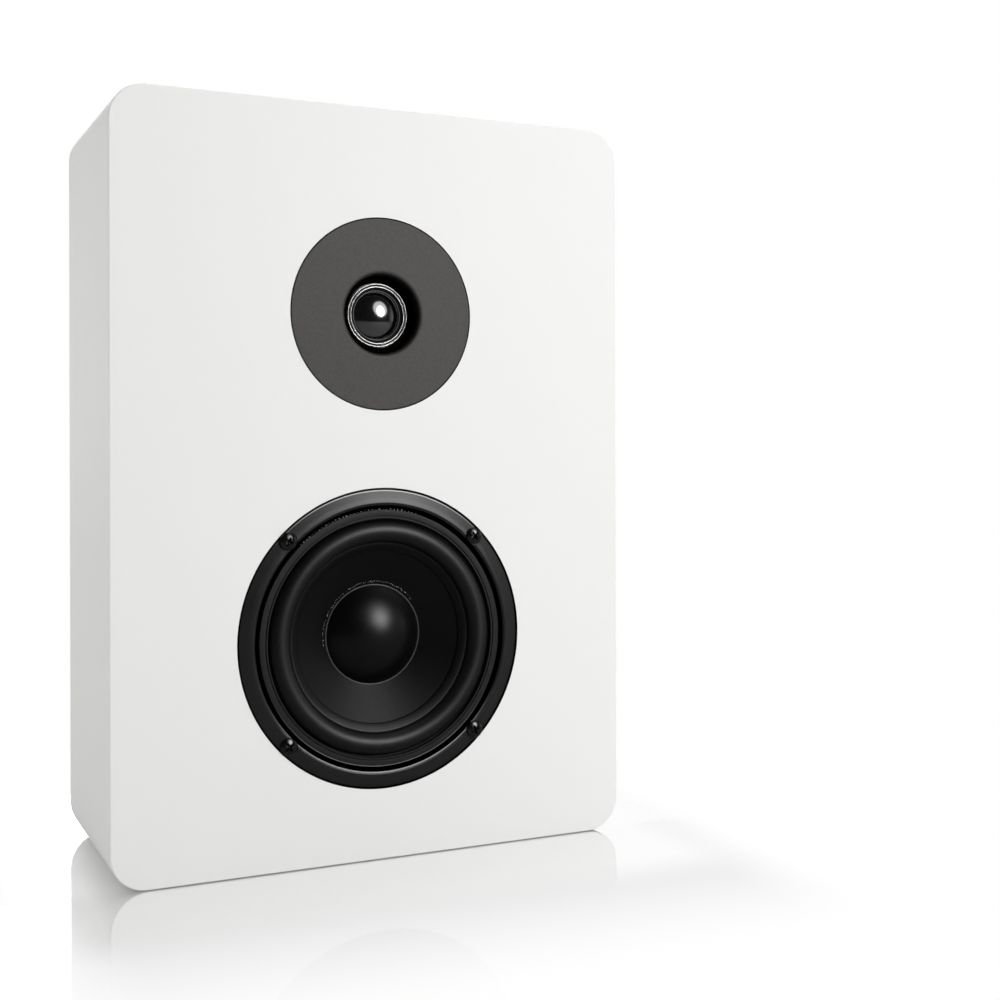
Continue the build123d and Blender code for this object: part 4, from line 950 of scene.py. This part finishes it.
class SPEAKER_OT_woofer_cone(bpy.types.Operator):
    """Models the woofer's cone and dust cap with the glue round it"""

    bl_idname = "speaker.woofer_cone"
    bl_label = "Woofer cone"

    def execute(self, context):
        shapes, tints = context.scene.speaker_shapes, context.scene.speaker_colours
        body = "woofer_diaphragm"
        plastic = finish(
            "cone", tints.cone, roughness=0.44, mottle=0.25, patch=5, grain=0.006, pore=0.45,
            relief=spokes(count=25.0, height=0.02), Specular_IOR_Level=0.25,
        )
        rim, neck = half_width("woofer_cone"), half_width("woofer_coil_former") + GLUE_GAP
        wall = shapes.cone_wall / MM
        radii = [rim + (neck - rim) * k / CONE_STEPS for k in range(CONE_STEPS + 1)]
        outline = [(radius, cone_depth(radius)) for radius in radii]
        outline += [(radius, cone_depth(radius) + wall) for radius in reversed(radii)]
        cone = turned("woofer_cone_skin", outline, WOOFER_AXIS, plastic)
        stand_for(cone, "cone", body, "woofer_cone")
        satin = finish(
            "dust_cap", tints.cone, roughness=0.31, mottle=0.2, patch=4, haze=0.03, grain=0.003, pore=0.4,
            Specular_IOR_Level=0.36,
        )
        cap_r = half_width("woofer_dust_cap")
        tip, cap_rim = depths("woofer_dust_cap")
        outline = ball_cap(cap_r, cap_rim, tip, shapes.cap_wall / MM)
        cap = turned("woofer_dust_cap_skin", outline, WOOFER_AXIS, satin)
        stand_for(cap, "dust_cap", body, "woofer_dust_cap")
        glue = finish("glue_line", tints.glue, roughness=0.35, mottle=0.5, patch=2.0, grain=0.01, pore=0.4)
        drops = finish("glue_drops", tints.drops, roughness=0.25, mottle=0.3, patch=1.0, grain=0.01, pore=0.4)
        half = shapes.glue_bead / MM / 2
        seat_r, seat_u = cap_r + half * BEAD_SEAT[0], cap_rim - half * BEAD_SEAT[1]
        outline = arc(seat_r, seat_u, half, 0, BEAD_TURN, BEAD_STEPS)
        bead = turned("dust_cap_glue_line", outline, WOOFER_AXIS, glue)
        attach(bead, body)
        tree = trail_tree()
        trail_r = cap_r + CONE_TRAIL_OUT
        trail_u = cone_depth(trail_r) - CONE_TRAIL_LIFT
        glue_trail(
            tree, "cone_glue_trail", trail_r, trail_u, body, "dust_cap", Material=drops, **CONE_TRAIL
        )
        seam_r = half_width("woofer_clamp_ring") + CLAMP_TRAIL_OUT
        seam_u = depths("woofer_clamp_ring")[0] + CLAMP_TRAIL_SINK
        glue_trail(
            tree, "clamp_glue_trail", seam_r, seam_u, "cabinet", "clamp_plastic", Material=drops,
            **CLAMP_TRAIL
        )
        return {"FINISHED"}


LEAD_ROUTE = ((53.0, 27.8, 8.0), (52.0, 22.8, 8.0), (43.0, 19.8, 8.0), (30.4, 20.2, 7.2), (22.6, 17.3, 5.6))
LEAD_R = 0.6
WIRE_PITCH = 0.35
WIRE_RELIEF = 0.05


def wire_turns(place):
    """The turns of a coil: fine ridges round its axis."""
    return place.maths("SINE", place.part("Y") * (math.tau / (WIRE_PITCH * MM))) * WIRE_RELIEF


def braided_leads(material):
    """Both flexible leads, each along a smooth curve from the terminal board to the cone."""
    curve = bpy.data.curves.new("woofer_braided_leads", "CURVE")
    curve.dimensions = "3D"
    curve.bevel_depth = LEAD_R * MM
    curve.bevel_resolution = 3
    curve.use_fill_caps = True
    for side in (-1, 1):
        spline = curve.splines.new("NURBS")
        spline.points.add(len(LEAD_ROUTE) - 1)
        for point, (x, depth, z) in zip(spline.points, LEAD_ROUTE):
            place = WOOFER_AXIS + Vector((x, depth, side * z)) * MM
            point.co = (*place, 1.0)
        spline.order_u = 3
        spline.use_endpoint_u = True
    holder = placed("woofer_lead_route", curve)
    mesh = baked(holder)
    bpy.data.objects.remove(holder)
    return settle(placed("woofer_braided_leads", mesh), material)


class SPEAKER_OT_woofer_motor(bpy.types.Operator):
    """Finishes the coils and magnets of both drivers, and models the woofer's braided leads"""

    bl_idname = "speaker.woofer_motor"
    bl_label = "Woofer motor"

    def execute(self, context):
        tints = context.scene.speaker_colours
        steel = finish("motor_steel", (0.06, 0.06, 0.06), roughness=0.35, mottle=0.2, patch=6, Metallic=0.8)
        dress(steel, "woofer_top_plate", "woofer_yoke", "tweeter_top_plate", "tweeter_yoke")
        ferrite = finish(
            "ferrite", (0.06, 0.058, 0.056), roughness=0.6, mottle=0.3, patch=3, grain=0.03, pore=0.7
        )
        dress(ferrite, "woofer_magnet", "tweeter_magnet")
        dress(finish("former", (0.78, 0.78, 0.78), roughness=0.25, Metallic=1.0), "woofer_coil_former")
        wire = finish(
            "copper", tints.copper, roughness=0.22, mottle=0.1, patch=4, relief=wire_turns, Metallic=1.0
        )
        dress(wire, "woofer_voice_coil", "tweeter_voice_coil", "crossover_inductors")
        board = finish("board", (0.16, 0.09, 0.04), roughness=0.45, mottle=0.2, patch=3)
        dress(board, "woofer_terminal_board", "tweeter_terminals", "crossover_board")
        braid = finish("braid", tints.copper, roughness=0.35, mottle=0.3, patch=0.8, grain=0.06, Metallic=1.0)
        leads = braided_leads(braid)
        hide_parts("woofer_tinsel_leads")
        low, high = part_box("woofer_tinsel_leads")
        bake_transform(leads, "cabinet", "woofer_diaphragm", start=(high.x, 0, low.z), end=(low.x, 0, low.z))
        return {"FINISHED"}


class SPEAKER_OT_screws(bpy.types.Operator):
    """Models the woofer's screw heads and finishes the other black screws"""

    bl_idname = "speaker.screws"
    bl_label = "Screws"

    def execute(self, context):
        black = finish(
            "black_screw", (0.003, 0.003, 0.003), roughness=0.13, mottle=0.2, patch=2, haze=0.03, grain=0.002,
            Specular_IOR_Level=0.6,
        )
        dress(black, "tweeter_screws", "terminal_cup_screws", "keyhole_screws")
        copies = copies_tree()
        seat = FRONT_Y + (depths("woofer_screws")[0] + SCREW_HEAD_H) * MM
        places = [Vector((spot.x, seat, spot.z)) for spot in island_middles("woofer_screws")]
        holder = points_object("woofer_screw_heads", places)
        template = screw_template(black)
        heads = copies.run(holder, Template=template, Seed=3, Material=black)
        bpy.data.objects.remove(template)
        stand_for(heads, "black_screw", "cabinet", "woofer_screws")
        return {"FINISHED"}


THROAT_SHADE = (18.9, 20.9)
# Strength and band of the pale line painted at the dome's edge as a reflection.
DOME_RIM_REFLECTION_SHARE = 0.4
DOME_RIM_REFLECTION_BAND = (-0.05, 0.1)
DOME_EDGE_SLOPE = 0.73
DOME_LIP_W = 0.2
DOME_LIP_T = 0.06
DOME_LIP_JOIN = (0.05, 0.08)
DOME_ROLL_WALL = 0.3
DOME_ROLL_RISE = 0.2
DOME_ROLL_STEPS = 20
DOME_ROLL_INSETS = (0.15, 2.0)
DOME_ROLL_BEND = (0.3, 1.3)
RIM_R = 0.24
RIM_STEPS = 12
VALLEY_W = 0.94
VALLEY_DEPTH = 0.45
VALLEY_FADE = 0.04


def throat_shade(place):
    """The plate's throat, which lies in shadow."""
    return 1 - radius_of(place, TWEETER_AXIS).step(*THROAT_SHADE)


def tweeter_roll(dome_r, rim):
    """Small half roll outside the dome, with a flange under the ring and a lip on the dome's edge."""
    front, back = depths("tweeter_surround")
    foot, edge = back - DOME_ROLL_WALL, half_width("tweeter_surround")
    inner = dome_r + DOME_ROLL_INSETS[0]
    outer = half_width("tweeter_dome_ring") - DOME_ROLL_INSETS[1]
    crest = max(front, rim - DOME_ROLL_RISE)
    over, under = half_roll(inner, outer, crest, foot, DOME_ROLL_WALL, DOME_ROLL_STEPS)
    lip_r, lip_u = dome_r - DOME_LIP_W, rim - DOME_EDGE_SLOPE * DOME_LIP_W - GLUE_GAP
    lip = [
        (inner - DOME_LIP_JOIN[0], rim - DOME_LIP_T),
        (lip_r, lip_u - DOME_LIP_T),
        (lip_r, lip_u),
        (inner - DOME_LIP_JOIN[1], rim),
    ]
    return [(edge, back), (edge, foot), *over, *lip, *under]


def dome_rim_reflection(place):
    """A pale line painted on the surround where it is glued to the dome's edge: a painted reflection."""
    start, end = [half_width("tweeter_dome") + offset for offset in DOME_RIM_REFLECTION_BAND]
    return (1 - radius_of(place, TWEETER_AXIS).step(start, end)) * DOME_RIM_REFLECTION_SHARE


def ring_rims():
    """Middle radii of the ring's inner and outer rims."""
    outer = half_width("tweeter_dome_ring") - RIM_R
    return outer - VALLEY_W - 2 * RIM_R, outer


def ring_valley_shade(place):
    """The valley between the ring's two rims, painted black as shade."""
    inner, outer = ring_rims()
    start, end = inner + RIM_R, outer - RIM_R
    radius = radius_of(place, TWEETER_AXIS)
    return band(radius, start, start + VALLEY_FADE, end - VALLEY_FADE, end)


def polished_ring():
    """Ring with two thin round rims and a flat valley between them."""
    front, back = depths("tweeter_dome_ring")
    inner, outer = ring_rims()
    valley = [(inner + RIM_R, front + VALLEY_DEPTH), (outer - RIM_R, front + VALLEY_DEPTH)]
    inside = arc(inner, front + RIM_R, RIM_R, 180, 0, RIM_STEPS)
    outside = arc(outer, front + RIM_R, RIM_R, 180, 0, RIM_STEPS)
    return [(inner - RIM_R, back), *inside, *valley, *outside, (outer + RIM_R, back)]


class SPEAKER_OT_tweeter(bpy.types.Operator):
    """Models the tweeter's dome, its polished ring and its surround, and finishes its plate"""

    bl_idname = "speaker.tweeter"
    bl_label = "Tweeter"

    def execute(self, context):
        shapes, tints = context.scene.speaker_shapes, context.scene.speaker_colours
        plate = finish(
            "faceplate_plastic", tints.plate, roughness=0.55, mottle=0.16, patch=20, haze=0.04, grain=0.012,
            pore=0.45, speck=2.0, dark=throat_shade, Specular_IOR_Level=0.4,
        )
        dress(plate, "tweeter_faceplate")
        dress(finish("chassis_plastic", tints.black, roughness=0.6), "tweeter_chassis", "tweeter_rear_cup")
        gloss = finish(
            "dome", tints.dome, roughness=0.12, mottle=0.2, patch=3, haze=0.02, grain=0.0,
            Specular_IOR_Level=1.0, IOR=2.0,
        )
        dome_r = half_width("tweeter_dome")
        tip, rim = depths("tweeter_dome")
        outline = ball_cap(dome_r, rim, tip, shapes.dome_wall / MM)
        dome = turned("tweeter_dome_skin", outline, TWEETER_AXIS, gloss)
        stand_for(dome, "dome", "tweeter_diaphragm", "tweeter_dome")
        # The pale line at the dome's edge is a painted reflection.
        skin = finish(
            "dome_surround", tints.dome, roughness=0.6, mottle=0.2, patch=2, painted_light=dome_rim_reflection,
            Specular_IOR_Level=0.2,
        )
        roll = turned("tweeter_surround_roll", tweeter_roll(dome_r, rim), TWEETER_AXIS, skin)
        inner, outer = [dome_r + offset for offset in DOME_ROLL_BEND]
        body = "tweeter_diaphragm"
        flex(roll, "tweeter_surround", body, TWEETER_AXIS, inner, outer)
        # The ring's valley between its rims gets painted shade, in black.
        polish = finish(
            "dome_ring", (0.6, 0.6, 0.59), roughness=0.24, mottle=0.05, patch=4, haze=0.03, grain=0.001,
            dark=ring_valley_shade, Metallic=1.0,
        )
        ring = turned("tweeter_polished_ring", polished_ring(), TWEETER_AXIS, polish)
        stand_for(ring, "dome_ring", "cabinet", "tweeter_dome_ring")
        return {"FINISHED"}


CAP_STEPS = 240
CAP_BORE_R = 4.15
CAP_MOUTH_R = 2.7
CAP_MOUTH_BEVEL = 0.3
CAP_LIP = 1.0
CAP_FOOT_BEVEL = 0.8
CAP_END_R = 1.2
CAP_END_STEPS = 8
CAP_ROWS = 28
FLUTE_FOOT = 1.2
FLUTE_END = 2.2
FLUTE_FADE = 1.5


def cap_outline(long, radius):
    """Terminal cap: a thread bore, a bevelled foot, a grip and a rounded end with a mouth for a plug."""
    foot, grip_h = CAP_FOOT_BEVEL, long - CAP_FOOT_BEVEL - CAP_END_R
    grip = [(radius, foot + grip_h * k / CAP_ROWS) for k in range(CAP_ROWS + 1)]
    end = arc(radius - CAP_END_R, long - CAP_END_R, CAP_END_R, 0, -90, CAP_END_STEPS)
    inside = [
        (CAP_MOUTH_R + CAP_MOUTH_BEVEL, long),
        (CAP_MOUTH_R, long - CAP_MOUTH_BEVEL),
        (CAP_MOUTH_R, long - CAP_LIP),
        (CAP_BORE_R, long - CAP_LIP),
    ]
    return [(CAP_BORE_R, 0), (radius - foot, 0), *grip, *end[1:], *inside]


class SPEAKER_OT_terminals(bpy.types.Operator):
    """Models the terminal caps and finishes the cup, posts and wall hangers at the back"""

    bl_idname = "speaker.terminals"
    bl_label = "Terminals"

    def execute(self, context):
        shapes, tints = context.scene.speaker_shapes, context.scene.speaker_colours
        cup = finish("cup_plastic", tints.black, roughness=0.5, mottle=0.15, patch=10, grain=0.02, pore=0.6)
        dress(cup, "terminal_cup")
        brass = finish("post_metal", tints.brass, roughness=0.18, patch=3, Metallic=1.0)
        dress(brass, "red_post_stem", "black_post_stem", "red_post_washer", "black_post_washer")
        zinc = finish(
            "plated_steel", tints.steel, roughness=0.48, mottle=0.12, patch=3, haze=0.08, Metallic=1.0
        )
        dress(zinc, "post_nuts", "post_tags", "keyhole_plates", "crossover_tabs", "crossover_screws")
        flutes = flutes_tree()
        for side, tint in (("red", tints.positive), ("black", tints.negative)):
            node = f"{side}_post_cap"
            gloss = finish(
                f"{side}_cap_plastic", tint, roughness=0.2, mottle=0.05, patch=4, haze=0.03, grain=0.002,
                pore=0.6,
            )
            low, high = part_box(node)
            axis = Vector((middle(node).x, low.y, middle(node).z))
            outline = cap_outline((high.y - low.y) / MM, half_width(node))
            cap = flutes.run(
                turned(f"{side}_terminal_cap", outline, axis, gloss, CAP_STEPS),
                Axis=axis, Count=shapes.flutes, Depth=shapes.flute_depth, Low=low.y + FLUTE_FOOT * MM,
                High=high.y - FLUTE_END * MM, Fade=FLUTE_FADE * MM, Radius=half_width(node) * MM,
                Material=gloss,
            )
            stand_for(cap, f"{side}_cap_plastic", f"{side}_cap", node)
        return {"FINISHED"}


FELT_VOXEL = 2.5
FELT_LUMP_W = 14.0


def uneven_felt(lump, material):
    """The damping felt as a soft slab: its edges round over and its surface sinks in by up to lump."""
    felt = mesh_object("uneven_felt", merged_copy("damping_felt"), material)
    remesh = felt.modifiers.new("even_out", "REMESH")
    remesh.mode = "VOXEL"
    remesh.voxel_size = FELT_VOXEL * MM
    felt.data = baked(felt)
    felt.modifiers.clear()
    for vertex in felt.data.vertices:
        depth = 0.5 + 0.5 * noise.noise(vertex.co / (FELT_LUMP_W * MM))
        vertex.co -= vertex.normal * (lump * depth)
    return settle(felt, material)


class SPEAKER_OT_crossover(bpy.types.Operator):
    """Finishes the crossover and the wiring, and models the damping felt"""

    bl_idname = "speaker.crossover"
    bl_label = "Crossover and damping"

    def execute(self, context):
        shapes, tints = context.scene.speaker_shapes, context.scene.speaker_colours
        dress(finish("standoff_plastic", (0.75, 0.74, 0.7), roughness=0.4), "crossover_standoffs")
        film = finish("capacitor_film", (0.42, 0.07, 0.03), roughness=0.25, mottle=0.1, patch=8)
        dress(film, "crossover_capacitors")
        ceramic = finish("resistor_ceramic", (0.75, 0.73, 0.68), roughness=0.7, mottle=0.1, grain=0.03)
        dress(ceramic, "crossover_resistors")
        sleeve = finish("lead_cover", (0.03, 0.03, 0.03), roughness=0.4, mottle=0.15, patch=5)
        dress(sleeve, "input_leads", "woofer_leads", "tweeter_leads")
        wool = finish(
            "felt", tints.felt, roughness=0.95, mottle=0.35, patch=1.2, grain=0.3, pore=0.8, Sheen_Weight=0.3
        )
        felt = uneven_felt(shapes.felt_lump, wool)
        stand_for(felt, "felt", "cabinet", "damping_felt")
        return {"FINISHED"}


# Where the main lamps aim, and each lamp's name, strength, shape, place, aim and size, in metres.
AIM = (0.0, FRONT_Y, 0.18)
LAMPS = (
    ("key_softbox", "key", "ELLIPSE", (0.66, -1.4, 0.66), AIM, (0.6, 0.75)),
    ("key_halo", "halo", "ELLIPSE", (0.7, -1.48, 0.86), AIM, (1.2, 1.2)),
    ("top_softbox", "top", "RECTANGLE", (0.3, 0.12, 1.4), (0.3, 0.12, 0.0), (1.2, 0.55)),
    ("back_softbox", "back", "RECTANGLE", (0.35, 1.6, 0.8), (0.0, 0.05, 0.2), (1.0, 1.0)),
    ("side_softbox", "side", "RECTANGLE", (-0.8, 0.1, 0.12), (CAD_BOX[0].x, 0.1, 0.12), (0.25, 0.3)),
)


def area_lamp(name, watts, shape, place, aim, size):
    """A softbox that faces a point and that the camera doesn't see."""
    lamp = bpy.data.lights.new(name, "AREA")
    lamp.shape = shape
    lamp.size, lamp.size_y = size
    lamp.energy = watts
    made = placed(name, lamp)
    made.location = place
    made.rotation_euler = (Vector(aim) - Vector(place)).to_track_quat("-Z", "Y").to_euler()
    made.visible_camera = False


WHITE = (1.0, 1.0, 1.0, 1.0)
BACKDROP_EDGE = (-0.25, 0.35)
RIGHT_WALL_EDGE = (0.75, 1.0)
RIGHT_WALL = 0.7


def studio_world(fill, room):
    """White to the camera, and an even fill for matt surfaces.

    Reflections show white behind, a grey wall to the right and a dim room.
    """
    world = bpy.data.worlds.new("studio")
    root = emptied(world)
    camera, glossy, through = [
        root.node("ShaderNodeLightPath", output=f"Is {kind} Ray")
        for kind in ("Camera", "Glossy", "Transmission")
    ]
    shiny = glossy + through
    heading = root.node("ShaderNodeTexCoord", output="Generated")
    behind = heading.part("Y").step(*BACKDROP_EDGE)
    right = heading.part("X").step(*RIGHT_WALL_EDGE) * (1 - behind)
    reflected = behind * (1 - room) + right * RIGHT_WALL + room
    level = reflected * shiny + (1 - shiny) * fill
    level = level * (1 - camera) + camera
    glow = root.node("ShaderNodeBackground", values={"Color": WHITE, "Strength": level})
    root.node("ShaderNodeOutputWorld", values={"Surface": glow})
    bpy.context.scene.world = world


MATT_FLOOR = (0.85, 0.85, 0.85, 1.0)
DIM_FLOOR = (0.2, 0.2, 0.2, 1.0)
FLOOR_ROUGHNESS = 0.04
# Fades are distances from the cabinet, in metres.
FRONT_EDGE = (-0.01, 0.0)
SHADOW_FADE = (0.0, 0.06)
SHADOW_SHARE = 0.35
NEAR_FADE = (0.045, 0.09)
NEAR_SIDE_FADE = (0.0, 0.045)
NEAR_GLOSS = 0.8
FAR_FADE = (0.06, 0.2)
FAR_GLOSS = 0.06
# The grey is painted shade just in front of the cabinet, standing in for its dim reflection and the light it
# blocks.
GREY_FADE = (0.04, 0.17)
GREY_SIDE_FADE = (0.0, 0.05)
GREY_SHARE = 0.2


def floor_material():
    """White floor with a soft shadow, a reflection that fades and a patch of painted shade in front. Shiny
    pieces see it dim.
    """
    material = bpy.data.materials.new("studio_floor")
    root = emptied(material)
    place = root.node("ShaderNodeTexCoord", output="Object")
    low, high = CAD_BOX
    beyond = place.vector("ABSOLUTE", place.vector("SUBTRACT", place, (low + high) / 2))
    beyond = place.vector("SUBTRACT", beyond, (high - low) / 2)
    beyond = place.vector("MAXIMUM", beyond, (0.0, 0.0, 0.0))
    away = place.vector("MULTIPLY", beyond, (1.0, 1.0, 0.0)).size()
    aside = beyond.part("X")
    ahead = low.y - place.part("Y")
    front = ahead.step(*FRONT_EDGE)
    near = 1 - away.step(*SHADOW_FADE)
    gloss = (1 - away.step(*NEAR_FADE)) * (1 - aside.step(*NEAR_SIDE_FADE)) * NEAR_GLOSS
    gloss = gloss + (1 - away.step(*FAR_FADE)) * front * FAR_GLOSS
    # Painted shade: the floor's glow dims in a patch in front of the cabinet.
    grey = (1 - ahead.step(*GREY_FADE)) * front * (1 - aside.step(*GREY_SIDE_FADE))
    glow = root.node("ShaderNodeEmission", values={"Color": WHITE, "Strength": 1 - grey * GREY_SHARE})
    matt = root.node("ShaderNodeBsdfDiffuse", values={"Color": MATT_FLOOR})
    dim = root.node("ShaderNodeBsdfDiffuse", values={"Color": DIM_FLOOR})
    mirror = root.node("ShaderNodeBsdfAnisotropic", values={"Color": WHITE, "Roughness": FLOOR_ROUGHNESS})

    def mix(factor, first, second):
        return root.node("ShaderNodeMixShader", values={0: factor, 1: first, 2: second})

    seen = mix(gloss, mix(near * SHADOW_SHARE, glow, matt), mirror)
    unseen = mix(root.node("ShaderNodeLightPath", output="Is Glossy Ray"), matt, dim)
    floor = mix(root.node("ShaderNodeLightPath", output="Is Camera Ray"), unseen, seen)
    root.node("ShaderNodeOutputMaterial", values={"Surface": floor})
    return material


# The camera that fits the photo, with its place measured from the foot of the baffle's front.
CAMERA_PLACE = (-248.0, -624.5, 201.25)
CAMERA_YAW = 0.4266
CAMERA_ROLL = 0.0026
CAMERA_FOCAL = 49.547
CAMERA_SHIFT = (0.05, -0.05415)
SENSOR_W = 36.0
FLOOR_GAP = 0.25
# In metres.
CLIP_START = 0.01
FLOOR_HALF = 4.0
FLOOR_REACH = 1.1


class SPEAKER_OT_studio(bpy.types.Operator):
    """Sets up the floor, the lamps and the camera"""

    bl_idname = "speaker.studio"
    bl_label = "Studio"

    def execute(self, context):
        studio = context.scene.speaker_studio
        context.scene.view_settings.view_transform = "Standard"
        studio_world(studio.fill, studio.room)
        bm = bmesh.new()
        bmesh.ops.create_grid(bm, x_segments=1, y_segments=1, size=FLOOR_HALF)
        bmesh.ops.translate(bm, verts=bm.verts, vec=(0, FLOOR_HALF - FLOOR_REACH, -FLOOR_GAP * MM))
        mesh_object("studio_floor", bm, floor_material())
        for name, strength, *setting in LAMPS:
            area_lamp(name, getattr(studio, strength), *setting)
        lens = bpy.data.cameras.new("camera")
        lens.lens = CAMERA_FOCAL
        lens.sensor_width = SENSOR_W
        lens.shift_x, lens.shift_y = CAMERA_SHIFT
        lens.clip_start = CLIP_START
        camera = placed("camera", lens)
        camera.location = Vector((0, FRONT_Y, 0)) + Vector(CAMERA_PLACE) * MM
        camera.rotation_euler = (math.pi / 2, CAMERA_ROLL, -CAMERA_YAW)
        context.scene.camera = camera
        return {"FINISHED"}


OPERATORS = (
    SPEAKER_OT_studio,
    SPEAKER_OT_cabinet,
    SPEAKER_OT_woofer_frame,
    SPEAKER_OT_woofer_surround,
    SPEAKER_OT_woofer_cone,
    SPEAKER_OT_woofer_motor,
    SPEAKER_OT_screws,
    SPEAKER_OT_tweeter,
    SPEAKER_OT_terminals,
    SPEAKER_OT_crossover,
)
GROUPS = {"speaker_shapes": SpeakerShapes, "speaker_colours": SpeakerColours, "speaker_studio": SpeakerStudio}


class SPEAKER_PT_panel(bpy.types.Panel):
    """Lists the steps that finish the speaker"""

    bl_idname = "SPEAKER_PT_panel"
    bl_label = "Bookshelf Speaker"
    bl_space_type = "VIEW_3D"
    bl_region_type = "UI"
    bl_category = "Speaker"

    def draw(self, context):
        for operator in OPERATORS:
            self.layout.operator(operator.bl_idname)
        for name, group in GROUPS.items():
            column = self.layout.column()
            for prop in group.__annotations__:
                column.prop(getattr(context.scene, name), prop)


def register():
    for item in (*GROUPS.values(), *OPERATORS, SPEAKER_PT_panel):
        bpy.utils.register_class(item)
    for name, group in GROUPS.items():
        setattr(bpy.types.Scene, name, PointerProperty(type=group))


def unregister():
    for name in GROUPS:
        delattr(bpy.types.Scene, name)
    for item in reversed((*GROUPS.values(), *OPERATORS, SPEAKER_PT_panel)):
        bpy.utils.unregister_class(item)


def main():
    register()
    for operator in OPERATORS:
        family, step = operator.bl_idname.split(".")
        getattr(getattr(bpy.ops, family), step)()


if __name__ == "__main__":
    main()
